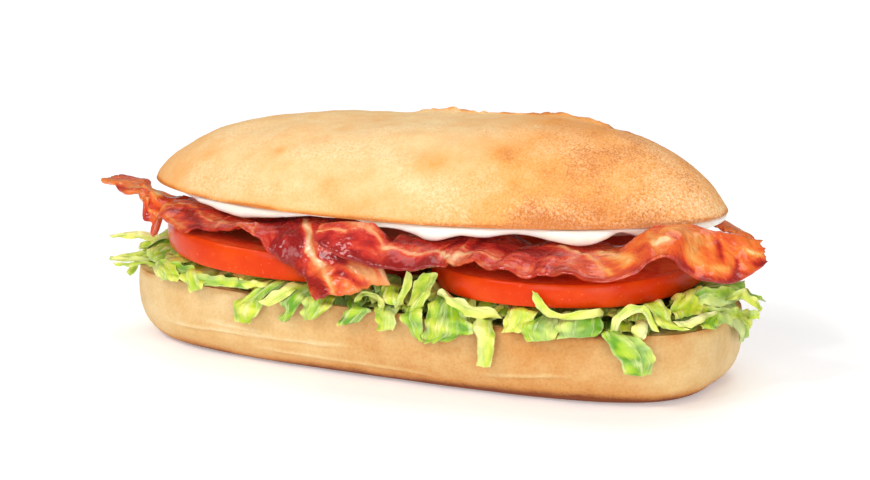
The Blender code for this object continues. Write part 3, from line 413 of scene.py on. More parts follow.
# Shreds that stand out, and after them the smaller ones that only show up close. Each has how green it is
# and how much of it is pale rib, and then its stations as the photograph shows them: the pixel of one edge,
# the pixel of the other, and how far out both are from the heel's side, or None and their y.
LETTUCE_RIBBONS = (
    ((0.1, 0.8), (150, 232, 150, 240, None, -11), (131, 231, 133, 238, None, -12.5),
     (108, 236, 108, 238.5, None, -14)),
    ((0.25, 0.1), (166, 241, 166, 250, None, -12), (150, 240, 150, 250, None, -11),
     (138, 243, 138, 249, None, -10)),
    ((0.15, 0.5), (170, 249, 170, 256, None, -16), (142, 250, 142, 257, None, -14),
     (116, 256, 117, 261, None, -12)),
    ((0.2, 0.5), (168, 256, 168, 263, None, -19), (138, 256, 138, 263, None, -17),
     (104, 256, 106, 260, None, -15)),
    ((0.35, 0.4), (168, 262, 166, 270, None, -21), (140, 262, 140, 269, None, -19),
     (112, 263, 112, 269, None, -17)),
    ((0.1, 0.4), (152, 266, 178, 266, 0.5), (155, 275, 181, 275, 2.9), (162, 283, 179, 282, 3.1)),
    ((0.2, 0.1), (180, 272, 204, 274, 1), (183, 283, 206, 283, 3.1), (192, 293, 202, 292, 3.1)),
    ((0.5, 0.4), (198, 272, 198, 285, 2), (215, 275, 215, 287, 2.9), (232, 277, 232, 288, 2.9),
     (250, 279, 250, 290, 2.9)),
    ((0.45, 0.0), (262, 284, 283, 284, -1), (243, 297, 264, 299, 2), (230, 306, 263, 309, 3.4),
     (235, 318, 254, 319, 3.4), (241, 324, 249, 325, 3.2)),
    ((0.05, 0.6), (286, 283, 300, 287, 0.5), (272, 292, 286, 299, 3.4), (257, 303, 264, 309, 4.4)),
    ((0.7, 0.1), (294, 289, 313, 290, 0.5), (281, 300, 303, 300, 3.2), (282, 311, 295, 313, 3.6),
     (276, 321, 287, 325, 3.3)),
    ((0.3, 0.35), (303, 297, 337, 300, 0.5), (300, 309, 331, 309, 3.3), (301, 323, 312, 322, 3.2)),
    ((0.75, 0.15), (347, 303, 363, 305, 0.5), (345, 311, 372, 311, 3), (337, 320, 360, 321, 3.3),
     (340, 325, 350, 325, 3.2)),
    ((0.4, 0.5), (373, 309, 398, 312, 1), (375, 320, 397, 323, 3), (377, 331, 394, 332, 3)),
    ((0.1, 0.5), (394, 308, 403, 308, 0), (398, 292, 409, 292, 1.5), (406, 271, 415, 273, 2)),
    ((0.3, 0.2), (408, 309, 418, 307, 0), (411, 293, 428, 292, 1.5), (414, 281, 438, 280, 2),
     (426, 271, 432, 271, 2)),
    ((0.55, 0.15), (407, 309, 424, 309, 0.5), (400, 316, 424, 320, 3), (408, 328, 424, 334, 3.3),
     (418, 340, 424, 346, 3.3)),
    ((0.6, 0.05), (430, 298, 468, 316, 0), (423, 317, 476, 327, 3.3), (421, 334, 472, 335, 3.6),
     (422, 346, 438, 341, 3.5)),
    ((0.0, 0.7), (441, 289, 444, 302, 0.5), (458, 293, 457, 315, 1.5), (478, 299, 476, 318, 1.5),
     (504, 312, 503, 319, 1)),
    ((0.35, 0.6), (474, 320, 493, 323, 0.5), (475, 333, 496, 335, 3.1), (477, 350, 495, 350, 3.1),
     (476, 368, 490, 372, 3.1)),
    ((0.2, 0.1), (506, 310, 541, 307, 0.5), (503, 322, 532, 322, 2), (500, 334, 516, 335, 3.1)),
    ((0.8, 0.4), (530, 321, 560, 317, 0), (518, 331, 560, 331, 2.9), (530, 344, 556, 341, 3.3)),
    ((0.75, 0.45), (556, 317, 604, 315, 0), (553, 330, 605, 328, 2.9), (557, 340, 600, 338, 3.2)),
    ((0.15, 0.5), (600, 307, 598, 316, 1), (580, 309, 578, 320, 2.5), (562, 311, 556, 319, 3.5),
     (549, 307, 540, 312, 4.8), (541, 297, 533, 302, 5.2), (534, 288, 531, 290, 5.2)),
    ((0.1, 0.7), (609, 331, 617, 333, 2), (613, 317, 622, 322, 2.5), (626, 306, 631, 316, 2.5),
     (640, 304, 641, 313, 2.5), (651, 312, 646, 319, 2.9), (661, 337, 656, 338, 3.1)),
    ((0.2, 0.15), (641, 303, 662, 302, -1), (650, 312, 670, 311, 1), (655, 322, 674, 320, 2.5),
     (664, 333, 690, 331, 3.1)),
    ((0.15, 0.0), (672, 297, 712, 290, -3), (668, 310, 712, 306, -0.5), (676, 322, 706, 318, 1.5)),
    ((0.5, 0.5), (700, 288, 702, 306, 0.5), (718, 287, 720, 308, 2), (735, 287, 738, 302, 3),
     (752, 292, 752, 299, None, -4), (770, 300, 768, 302.5, None, -3)),
    ((0.35, 0.5), (712, 306, 715, 319, 1.5), (735, 308, 738, 320, 3), (750, 309, 752, 320, None, -8),
     (763, 311, 758, 319, None, -7)),
    ((0.65, 0.25), (602, 329, 618, 331, 0.5), (603, 341, 636, 337, 3.3), (613, 355, 652, 348, 3.9),
     (622, 369, 656, 362, 3.9), (630, 379, 650, 378, 3.5)),
    ((0.6, 0.0), (160, 259, 160, 264, 0.5), (178, 262, 177, 272, 1), (198, 268, 197, 277, 1)),
    ((0.15, 0.1), (264, 279, 264, 285, 0.5), (250, 275, 251, 288, 2), (237, 275, 239, 285, 3.4)),
    ((0.15, 0.5), (354, 301, 359, 302, 1), (361, 291, 366, 296, 1.5), (373, 291, 373, 297, 2),
     (383, 299, 377, 302, 2.9), (384, 311, 378, 311, 2.9)),
    ((0.2, 0.0), (384, 286, 399, 287, -1), (376, 293, 400, 296, 1), (384, 305, 398, 306, 1.5)),
    ((0.3, 0.3), (408, 313, 420, 311, 1), (413, 304, 426, 302, 3), (425, 290, 430, 291, 3.5)),
    ((0.0, 0.9), (717, 309, 717, 316, 1), (702, 313, 705, 321, 2.9), (686, 320, 690, 328, 3.1),
     (671, 321, 675, 327, 3.6)),
    ((0.5, 0.0), (703, 317, 724, 315, 0.5), (699, 325, 721, 325, 2.9), (704, 331, 717, 331, 3.1)),
    ((0.4, 0.5), (740, 289, 735, 298, None, -7), (754, 297, 748, 304, None, -6),
     (766, 310, 761, 313, None, -4)),
    ((0.0, 1.0), (634, 325, 648, 326, 0.5), (631, 332, 649, 333, 2.9), (636, 341, 642, 340, 3)),
)
# Generic shreds along the rim where the photo shows none: how many, from which direction to which, how far
# one may stray from its place in the row, and how far inside the heel's edge they start
LETTUCE_RIM_SHREDS = 9
LETTUCE_RIM_ARC = (-15, 200)
LETTUCE_RIM_STRAY = 0.3
LETTUCE_RIM_INSETS = (8, 11)
# Smaller shreds that fill the heap's edge: the height of each layer and how many are in it
LETTUCE_FILL_LAYERS = ((20.8, 64), (22.6, 60), (24.4, 56), (26.4, 46))
LETTUCE_FILL_SEED = 11
# How far one may stray round the edge, in radians, and up or down, how far inside the heel's edge they
# start, and their room under the tomato
LETTUCE_FILL_STRAY = 0.02
LETTUCE_FILL_STRAY_UP = 0.6
LETTUCE_FILL_INSETS = (8, 13)
LETTUCE_FILL_ROOM = 1.5
# Limits of what is drawn for both kinds: heading, pitch, bend, turn and roll, then length, width and wave.
# A filling shred's length is counted from the rim, and at the front it stays on the heel.
LETTUCE_RIM_TURNS = ((-35, 35), (-5, 25), (-110, -50), (-40, 40), (-30, 30))
LETTUCE_RIM_SIZES = ((11, 17), (6, 12), (0.8, 1.6))
LETTUCE_FILL_TURNS = ((-50, 50), (5, 40), (-110, -35), (-40, 40), (-50, 50))
LETTUCE_FILL_SIZES_FRONT = ((-3, 0.5), (6, 12), (0.6, 1.6))
LETTUCE_FILL_SIZES_BACK = ((-2, 4), (6, 12), (0.6, 1.6))
# Limits of how green they are, and of how much of them is pale rib
LETTUCE_RIM_GREENS = (0, 0.8)
LETTUCE_RIM_RIBS = (0, 0.8)
# The filling shreds run greener and darker than the rim's, partly as painted shade between the shreds in
# front
LETTUCE_FILL_GREENS = (0.2, 1.0)
LETTUCE_FILL_RIBS = (0, 0.6)
# The dark middle of the heap
LETTUCE_CORE_INSET = 9.0
LETTUCE_CORE_COLUMNS = 260
LETTUCE_CORE_UNDER_ROWS = 7
LETTUCE_CORE_TOP_ROWS = 30
# A leaf's thickness where it is thin, and how far its edges are rounded
LETTUCE_LEAF_THICKNESS = 0.36
LETTUCE_LEAF_ROUND = 0.25
# How ragged its sides and tip are, and how slanted its ends may be, as shares of its size
LETTUCE_RAGGED_SIDES = 0.05
LETTUCE_RAGGED_TIP = 0.03
LETTUCE_SLANT = 0.08
# Limits of a shred's frill, and the two places across it where its rib may run
LETTUCE_FRILL_HEIGHTS = (0.25, 0.7)
LETTUCE_FRILL_LENGTHS = (5, 9)
LETTUCE_RIB_PLACES = (0.1, 0.9)
# How close the points of a shred's mesh are, and the fewest and most that it has along and across
LETTUCE_LEAF_SPACING = 0.65
LETTUCE_FILL_SPACING = 1.2
LETTUCE_POINTS_ALONG = (10, 52)
LETTUCE_POINTS_ACROSS = (6, 22)
# How far the middle of a filling shred stays from what it lies against
LETTUCE_FILL_CLEARANCE = 0.4
# Its blades from pale to deep green
LETTUCE_TONES = (
    (0.0, (0.80, 0.82, 0.14)),
    (0.35, (0.56, 0.69, 0.03)),
    (0.7, (0.33, 0.55, 0.012)),
    (1.0, (0.13, 0.34, 0.008)),
)

# Lamps: place, size and power, in metres and watts
LAMPS = {
    "key": ((-0.45, -0.75, 0.80), 0.30, 3.2),
    "top": ((-0.05, 0.35, 1.1), 0.8, 4.6),
    "fill": ((0.85, -0.75, 0.30), 0.6, 4.8),
    "front": ((0.15, -1.05, 0.38), 0.4, 2.7),
    "glint": ((-0.10, -0.85, 0.75), 0.07, 1.3),
}
SURROUNDINGS_STRENGTH = 0.28
# The floor: half its side in metres, and how it glows more from near to far
FLOOR_HALF_SIDE = 3.0
FLOOR_GLOW_DISTANCES = (250, 900)
FLOOR_GLOW = (0.27, 0.50)


# Shapes

def plan_radius(angle, plan, inset=0):
    """Distance from the middle to the edge of a superellipse, in the direction of angle."""
    half_length, half_width, squareness = plan
    along = abs(np.cos(angle) / (half_length - inset)) ** squareness
    across = abs(np.sin(angle) / (half_width - inset)) ** squareness
    return (along + across) ** (-1 / squareness)


def outline_angles(plan, count, inset=0):
    """Directions from the middle of a superellipse to points spaced evenly along its edge."""
    angles = np.linspace(-math.pi, math.pi, 8 * count + 1)
    reach = plan_radius(angles, plan, inset)
    steps = np.hypot(np.diff(reach * np.cos(angles)), np.diff(reach * np.sin(angles)))
    distance = np.concatenate([[0], np.cumsum(steps)])
    return np.interp(np.linspace(0, distance[-1], count, endpoint=False), distance, angles)


def lumps(points, size, seed, octaves=1):
    """Smooth bumps between about -1 and 1 at each of an array of points."""
    points = np.asarray(points, float)
    flat = points.reshape(-1, 3)
    total = np.zeros(len(flat))
    for octave in range(octaves):
        places = flat * (2**octave / size) + np.array((17.3, 7.1, 3.7)) * seed
        total += 0.5**octave * np.array([noise.noise(place) for place in places.tolist()])
    return total.reshape(points.shape[:-1])


def ease(value, start, end):
    """Goes smoothly from 0 at start to 1 at end."""
    share = np.clip((value - start) / (end - start), 0, 1)
    return share * share * (3 - 2 * share)


def bell(value, middle, half_width):
    """One at the middle, falling smoothly to nothing a little past the half-width."""
    return np.exp(-(((value - middle) / half_width) ** 2))


def between(value, start, end, fade_in, fade_out):
    """One from start to end, but going smoothly to nothing over a fade inside each."""
    return ease(value, start, start + fade_in) * ease(value, end, end - fade_out)


def eases(value, stretches):
    """A sum of smooth steps. Each has its start, its end and its height."""
    return sum(height * ease(value, start, end) for start, end, height in stretches)


def bells(value, places):
    """A sum of bells. Each has its middle, its half-width and its height."""
    return sum(height * bell(value, middle, half_width) for middle, half_width, height in places)


def layered(points, layers):
    """A sum of smooth bumps in layers. Each has its height, its size, its seed and its octaves."""
    return sum(height * lumps(points, size, seed, octaves) for height, size, seed, octaves in layers)


def stack(x, y, z):
    """Points from arrays of their coordinates."""
    return np.stack(np.broadcast_arrays(x, y, z), axis=-1).astype(float)


def unit(vectors):
    """The vectors, each made one long."""
    return vectors / np.maximum(np.linalg.norm(vectors, axis=-1, keepdims=True), 1e-9)


def ring_normals(rings):
    """Outward directions on a body made of rings of points, from the lowest ring to the highest."""
    along = np.roll(rings, -1, axis=1) - np.roll(rings, 1, axis=1)
    return unit(np.cross(along, np.gradient(rings, axis=0)))


def sheet_normals(points):
    """Directions square to a grid of points."""
    return unit(np.cross(np.gradient(points, axis=0), np.gradient(points, axis=1)))


def steps_along(grid, axis):
    """Distances between neighbours in a grid of points."""
    return np.linalg.norm(np.diff(grid, axis=axis), axis=-1)


def to_nearest_edge(along, across, length, width):
    """How far each point of a sheet is from its nearest edge. Its places are shares of its size."""
    sides = (along * length, (1 - along) * length, across * width, (1 - across) * width)
    return np.minimum.reduce(np.broadcast_arrays(*sides))


def rounded(to_edge, radius):
    """The share of its full thickness that a sheet has near a rounded edge."""
    return np.sqrt(1 - (1 - np.clip(to_edge / radius, 0, 1)) ** 2)


def cubic(grid, rows_at, columns_at):
    """Reads a grid smoothly at fractional places, by Catmull-Rom curves both ways."""
    rows, columns = grid.shape[:2]
    padded = np.pad(grid, ((1, 1), (1, 1), (0, 0)), mode="reflect", reflect_type="odd")

    def weights(places, count):
        cell = np.clip(np.floor(places).astype(int), 0, count - 2)
        t = places - cell
        first = -0.5 * t + t**2 - 0.5 * t**3
        second = 1 - 2.5 * t**2 + 1.5 * t**3
        third = 0.5 * t + 2 * t**2 - 1.5 * t**3
        return cell, (first, second, third, 1 - first - second - third)

    row, row_weights = weights(rows_at, rows)
    column, column_weights = weights(columns_at, columns)
    total = np.zeros((*rows_at.shape, grid.shape[2]))
    for i, row_weight in enumerate(row_weights):
        for j, column_weight in enumerate(column_weights):
            total += (row_weight * column_weight)[..., None] * padded[row + i, column + j]
    return total


# Readings from the photograph

def camera_axes():
    """Where the camera is, and its directions backwards, to the right and up."""
    azimuth, elevation = math.radians(CAMERA_AZIMUTH), math.radians(CAMERA_ELEVATION)
    flat = math.cos(elevation)
    back = np.array((math.sin(azimuth) * flat, -math.cos(azimuth) * flat, math.sin(elevation)))
    right = np.array((math.cos(azimuth), math.sin(azimuth), 0))
    return np.array(CAMERA_TARGET) + CAMERA_DISTANCE * back, back, right, np.cross(back, right)


def place_seen(u, v, out, y=0):
    """The place that a pixel shows: so far out from the heel's side, or on the plane at y if out is None."""
    eye, back, right, up = camera_axes()
    ray = unit(right * (u - PHOTO_MIDDLE[0]) - up * (v - PHOTO_MIDDLE[1]) - back * PHOTO_FOCAL)
    if out is None:
        return eye + (y - eye[1]) / ray[1] * ray
    places = eye + np.linspace(*SIGHT_PLACES)[:, None] * ray
    return places[np.argmax(past_outline(places[:, 0], places[:, 1], HEEL_PLAN, out) <= 0)]


def edges_seen(stations):
    """The two edges of a shred at its stations, to a tenth of a millimetre."""
    edges = [[place_seen(*row[:2], *row[4:]), place_seen(*row[2:4], *row[4:])] for row in stations]
    return np.round(edges, 1)


def streaks_seen(strip, streaks):
    """Streaks given by pixels, with their places as shares of the strip's length and width."""
    eye, back, right, up = camera_axes()
    shares = [np.linspace(0, 1, count) for count in STRIP_PLACES]
    weights = [
        np.maximum(0, 1 - abs(share[:, None] * (size - 1) - np.arange(size)))
        for share, size in zip(shares, strip.shape)
    ]
    away = np.einsum("ai,bj,ijk->abk", *weights, strip) - eye
    depth = -(away @ back)
    u = PHOTO_MIDDLE[0] + PHOTO_FOCAL * (away @ right) / depth
    v = PHOTO_MIDDLE[1] - PHOTO_FOCAL * (away @ up) / depth

    def found(seen_u, seen_v):
        off = np.hypot(u - seen_u, v - seen_v)
        near = off < max(STRIP_NEAR[0], off.min() + STRIP_NEAR[1])
        cost = np.where(near, depth + STRIP_OFF_COST * off, np.inf)
        i, j = np.unravel_index(cost.argmin(), cost.shape)
        return round(float(shares[0][i]), 3), round(float(shares[1][j]), 2)

    return tuple((amount, size, *(found(*pixel) for pixel in line)) for amount, size, *line in streaks)


# Meshes

def ring_parts(rings, marks):
    """Vertices, faces and marks of a closed body from rings. The first and last ring are single points."""
    count, width = rings.shape[:2]
    inner = np.arange((count - 2) * width).reshape(count - 2, width) + 1
    ahead = np.roll(inner, -1, axis=1)
    quads = np.stack([inner[:-1], ahead[:-1], ahead[1:], inner[1:]], axis=-1).reshape(-1, 4)
    last = (count - 2) * width + 1
    low = [(0, b, a) for a, b in zip(inner[0], ahead[0])]
    high = [(last, a, b) for a, b in zip(inner[-1], ahead[-1])]

    def merged(values):
        return np.concatenate([values[0, :1], values[1:-1].reshape(-1, *values.shape[2:]), values[-1, :1]])

    return merged(rings), quads.tolist() + low + high, {name: merged(mark) for name, mark in marks.items()}


def sheet_parts(points, thickness, marks):
    """Vertices, faces and marks of a closed sheet. Its two sides share the vertices along the edge."""
    rows, columns = points.shape[:2]
    offset = sheet_normals(points) * thickness[..., None] / 2
    top = np.arange(rows * columns).reshape(rows, columns)
    under = top.copy()
    under[1:-1, 1:-1] = rows * columns + np.arange((rows - 2) * (columns - 2)).reshape(rows - 2, columns - 2)
    faces = []
    for ids, turned in ((top, False), (under, True)):
        corners = [ids[:-1, :-1], ids[1:, :-1], ids[1:, 1:], ids[:-1, 1:]]
        faces += np.stack(corners[::-1] if turned else corners, axis=-1).reshape(-1, 4).tolist()

    def both(upper, lower):
        inner = lower[1:-1, 1:-1]
        return np.concatenate([upper.reshape(-1, *upper.shape[2:]), inner.reshape(-1, *inner.shape[2:])])

    marks = {name: both(mark, mark) for name, mark in marks.items()}
    return both(points + offset, points - offset), faces, marks


def joined(parts):
    """Several sets of vertices, faces and marks as one."""
    vertices, faces, marks = [], [], {}
    start = 0
    for part_vertices, part_faces, part_marks in parts:
        vertices.append(part_vertices)
        faces += [[start + index for index in face] for face in part_faces]
        start += len(part_vertices)
        for name, values in part_marks.items():
            marks.setdefault(name, []).append(values)
    return np.concatenate(vertices), faces, {name: np.concatenate(mark) for name, mark in marks.items()}


def add_piece(name, parts, node, material):
    """Makes a piece of the sandwich that stands for a CAD node."""
    vertices, faces, marks = parts
    mesh = bpy.data.meshes.new(name)
    mesh.from_pydata((vertices * MM).tolist(), [], faces)
    mesh.validate()
    for mark, values in marks.items():
        vector = values.ndim > 1
        attribute = mesh.attributes.new(mark, "FLOAT_VECTOR" if vector else "FLOAT", "POINT")
        attribute.data.foreach_set("vector" if vector else "value", values.astype(np.float32).ravel())
    mesh.shade_smooth()
    mesh.set_sharp_from_angle(angle=math.radians(SHARP_ANGLE))
    mesh.materials.append(material)
    piece = bpy.data.objects.new(name, mesh)
    bpy.context.scene.collection.objects.link(piece)
    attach(piece, "root")
    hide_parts(node)


# Bread

def crown_cut(x, y):
    """The height of the crown's tilted cut face, at places given along and across the crown."""
    return CROWN_CUT_Z + math.tan(math.radians(CROWN_TILT)) * x + math.tan(math.radians(CROWN_ROLL)) * y


def on_crown(x, y, z):
    """Points given from the middle of the crown's cut face, in the sandwich's frame."""
    cos_yaw = math.cos(math.radians(CROWN_YAW))
    sin_yaw = math.sin(math.radians(CROWN_YAW))
    return stack(x * cos_yaw - y * sin_yaw, x * sin_yaw + y * cos_yaw, z + crown_cut(x, y))


def heel_parts():
    """The heel: creased sides that round under to a flat foot, and a level cut face with a curled rim."""
    angles = outline_angles(HEEL_PLAN, HEEL_COLUMNS)
    turn = np.linspace(math.pi / 2, 0, HEEL_SIDE_ROWS)
    foot, face = np.zeros(HEEL_FOOT_ROWS), np.zeros(HEEL_FACE_ROWS)
    in_foot = np.linspace(0, 1, HEEL_FOOT_ROWS + 1)[:-1]
    in_face = np.linspace(1, 0, HEEL_FACE_ROWS + 1)[1:]
    share = np.concatenate([in_foot, np.ones(HEEL_SIDE_ROWS), in_face])[:, None]
    side_inset = HEEL_FOOT_INSET * (1 - np.cos(turn)) ** 1.4
    inset = np.concatenate([foot + HEEL_FOOT_INSET, side_inset, face])[:, None]
    z = np.concatenate([foot, HEEL_HEIGHT * (1 - np.sin(turn)), face + HEEL_HEIGHT])[:, None]
    reach = plan_radius(angles, HEEL_PLAN, inset)
    x, y = reach * np.cos(angles), reach * np.sin(angles)
    bulge = np.sin(math.pi * z / HEEL_HEIGHT)
    swell = share * (1 + bulge * HEEL_SWELL * (1 + lumps(stack(x, y, z), 26, 1)) / reach)
    rings = stack(x * swell, y * swell, z)
    x, y, z = rings[..., 0], rings[..., 1], rings[..., 2]

    side = between(z, 0, HEEL_HEIGHT, 1.5, 1)
    relief = layered(rings, HEEL_SKIN)
    crease_highlight = np.zeros(z.shape)
    for start, end, z_start, z_end, tall in HEEL_CREASES:
        along = np.clip((x - start) / (end - start), 0, 1)
        height = z_start + (z_end - z_start) * along + 0.5 * lumps(stack(x, 0, 0), 12, 6)
        window = between(x, start, end, HEEL_CREASE_FADE, HEEL_CREASE_FADE) * (y < 0)
        relief += tall * window * (bell(z, height, 0.45) - 0.8 * bell(z, height - 1.1, 0.6))
        # A line along the top of each crease is painted paler, as a highlight
        crease_highlight += window * bell(z, height + 0.1, 0.5)
    on_face = (share < 1) & (z >= HEEL_HEIGHT)
    crumb = on_face * ease(1 - share, 0, 0.04) * HEEL_CRUMB_RELIEF * lumps(rings, 2.2, 7, 2)
    rings += ring_normals(rings) * (side * relief + crumb)[..., None]

    # Browner low down, in the middle of the front, and along the edge of the cut, and paler along the crease
    # ridges as a painted highlight
    low_edge = HEEL_BROWN_FOOT + 0.3 * ease(x, 0, 60) + 0.8 * lumps(rings, 14, 8)
    low = ease(low_edge - z, 0, HEEL_BROWN_FOOT)
    edge = bell(z, HEEL_HEIGHT, 0.9) * ease(lumps(rings, 12, 9), -0.3, 0.4)
    middle = bells(x, HEEL_BROWN_FRONT) * (y < 0)
    toasted = bell(z, HEEL_HEIGHT, 2.2) * ease(x, 30, 60) * (0.7 + lumps(rings, 5, 37))
    bake = 0.26 + middle + 0.10 * lumps(rings, 18, 10, 2) + 0.57 * low + 0.34 * edge - 0.20 * crease_highlight
    bake += 0.10 * ease(z, 9, 2) + 0.22 * toasted
    bake = np.where(on_face, 0.55 + 0.15 * lumps(rings, 9, 11, 2), bake)
    marks = {"bake": bake, "flour": np.full(z.shape, 0.05), "cut": on_face * np.ones(z.shape)}
    rim = ease(share, 0.80, 0.98) * ease(z, 0.4 * HEEL_HEIGHT, HEEL_HEIGHT)
    rings[..., 2] += HEEL_RIM_RISE * rim * (1 + 0.4 * lumps(rings, 18, 36))
    return ring_parts(rings, marks)


def crown_parts():
    """The crown: a long dome with dimples and a torn slash, over a flat cut face."""
    angles = outline_angles(CROWN_PLAN, CROWN_COLUMNS)
    face = np.linspace(0, 1, CROWN_FACE_ROWS + 1)[:-1]
    dome = np.cos(np.linspace(0, math.pi / 2, CROWN_DOME_ROWS))
    share = np.concatenate([face, dome])[:, None]
    on_face = np.arange(len(share))[:, None] < len(face)
    reach = share * plan_radius(angles, CROWN_PLAN)
    x, y = reach * np.cos(angles), reach * np.sin(angles)
    along = x / CROWN_HALF_LENGTH
    rim_power = CROWN_RIM_POWER + CROWN_BLUNT_LEFT * np.maximum(0, -along)
    rise = np.where(on_face, 0, np.maximum(0, 1 - share**rim_power) ** (1 / CROWN_DOME_POWER))
    height = CROWN_HEIGHT * (1 + CROWN_RISE_TO_RIGHT * along + CROWN_RISE_TO_ENDS * along**2)
    flat = stack(x, y, 0)
    z = (height + CROWN_RELIEF * lumps(flat, 22, 2)) * rise
    rings = on_crown(x, y, z)

    away = ease(z, 0.0, 2.0)
    relief = layered(rings, CROWN_SKIN)
    for dimple_x, dimple_y, radius, depth in CROWN_DIMPLES:
        relief -= depth * bell(np.hypot(x - dimple_x, y - dimple_y), 0, radius)
    across = y - SLASH_BACK - 1.5 * np.sin(x / 17) - 0.8 * lumps(flat, 6, 14, 2)
    window = between(x, *SLASH_ENDS, *SLASH_FADES)
    torn = window * (0.5 + 0.9 * abs(lumps(flat, 3.2, 15, 2)))
    lip = torn * bell(across, 0, 1.1)
    crest = sum(rise * between(x, start, end, *SLASH_CREST_FADES) for start, end, rise in SLASH_CRESTS)
    opening = window * bell(across, SLASH_HALF_WIDTH, 0.8 * SLASH_HALF_WIDTH)
    rough = 0.5 * lumps(flat, 1.6, 16, 2)
    relief += SLASH_LIP * lip + crest * bell(across, 0, 2.5) - SLASH_DEPTH * opening + opening * rough
    rings += ring_normals(rings) * (away * relief)[..., None]

    # Browner and more mottled to the right, in patches and spots, on the torn lip and along the cut's edge
    right = ease(x, *CROWN_BROWN_RIGHT)
    tall = np.clip(z / CROWN_HEIGHT, 0, 1)
    bake = 0.25 + layered(rings, CROWN_MOTTLE) + 0.17 * right * lumps(rings * (1, 1, 1.3), 9, 32, 2)
    # Painted shade: paler at the top of the dome and darker low down
    bake += 0.31 * right * ease(tall, 0.1, 0.7) + eases(x, CROWN_BROWN_ALONG) + eases(tall, CROWN_SHADE_BY_HEIGHT)
    for middle, half_length, height, half_height, brown in CROWN_PATCHES:
        bake += brown * bell(x, middle, half_length) * bell(tall, height, half_height)
    for spot_x, spot_y, size, brown in CROWN_SPOTS:
        bake += brown * bell(np.hypot(x - spot_x, 2 * (y - spot_y)) + lumps(rings, 5, 31, 2), 0, size)
    bake += 1.8 * lip * abs(lumps(flat, 5, 33)) + 0.25 * opening
    bake += (0.75 + 0.5 * lumps(flat, 8, 39, 2)) * bell(z, 0, 0.8)
    bake = np.where(on_face, 0.30, bake)
    flour = 0.16 + eases(x, CROWN_FLOUR) + 0.24 * lumps(rings, 13, 19, 2)
    flour += 0.46 * ease(lumps(rings * (0.8, 1, 1.4), 15, 38, 2), -0.05, 0.45)
    marks = {"bake": bake, "flour": flour, "cut": np.where(on_face, 1.0, 0.5 * opening)}
    return ring_parts(rings, marks)


# Mayonnaise

def mayo_ridge(x, y):
    """How much deeper the mayonnaise is in its middle ridge, at a point of the crown's cut face."""
    along = np.maximum(0, 1 - (x / MAYO_RIDGE_HALF_LENGTH) ** 4)
    return MAYO_RIDGE_DEPTH * along * bell(y, 0, MAYO_RIDGE_HALF_WIDTH)


def mayo_parts():
    """The mayonnaise: flat against the crown, with a rounded wavy edge that sags in drips at the front."""
    angles = outline_angles(CROWN_PLAN, MAYO_COLUMNS)
    reach = plan_radius(angles, CROWN_PLAN)
    edge = stack(reach * np.cos(angles), reach * np.sin(angles), 0)
    x, y, _ = edge.T
    front = ease(y, 0, -MAYO_FRONT_FADE)
    drip = bells(x, MAYO_DRIPS) * np.maximum(0, -np.sin(angles))
    bare = front * np.minimum(1, bells(x, MAYO_BARE))
    fall = front * bells(x, MAYO_FALLS)
    reach = reach - MAYO_INSET + MAYO_EDGE_WAVE * np.sin(angles * 11) + 0.5 * lumps(edge, 6, 20, 2)
    reach += MAYO_DRIP_FORWARD * drip + MAYO_FALL_FORWARD * fall - MAYO_BARE_SETBACK * bare
    thickness = MAYO_THICKNESS + drip + 0.25 * lumps(edge, 5, 21, 2)
    thickness = thickness * (1 - MAYO_BARE_THINNING * bare) + fall
    rows = []

    def add_row(distance, z):
        rows.append(on_crown(distance * np.cos(angles), distance * np.sin(angles), z - GAP))

    for share in np.linspace(0, 1, MAYO_UNDER_ROWS + 1)[:-1]:
        inner = share * (reach - 0.5 * thickness)
        x, y = inner * np.cos(angles), inner * np.sin(angles)
        depth = (thickness - MAYO_THICKNESS) * share**4 + MAYO_THICKNESS + mayo_ridge(x, y)
        swirl = 0.5 * (1 - share) * share * lumps(stack(x, y, 0), 7, 22, 2)
        add_row(inner, swirl - depth)
    for turn in np.linspace(-math.pi / 2, math.pi / 2, MAYO_EDGE_ROWS):
        rim = reach + 0.5 * thickness * (math.cos(turn) - 1)
        add_row(rim, 0.5 * thickness * (math.sin(turn) - 1))
    for share in np.linspace(1, 0, MAYO_TOP_ROWS + 1)[1:]:
        add_row(share * (reach - 0.5 * thickness), 0)
    return ring_parts(np.array(rows), {})


# Tomato

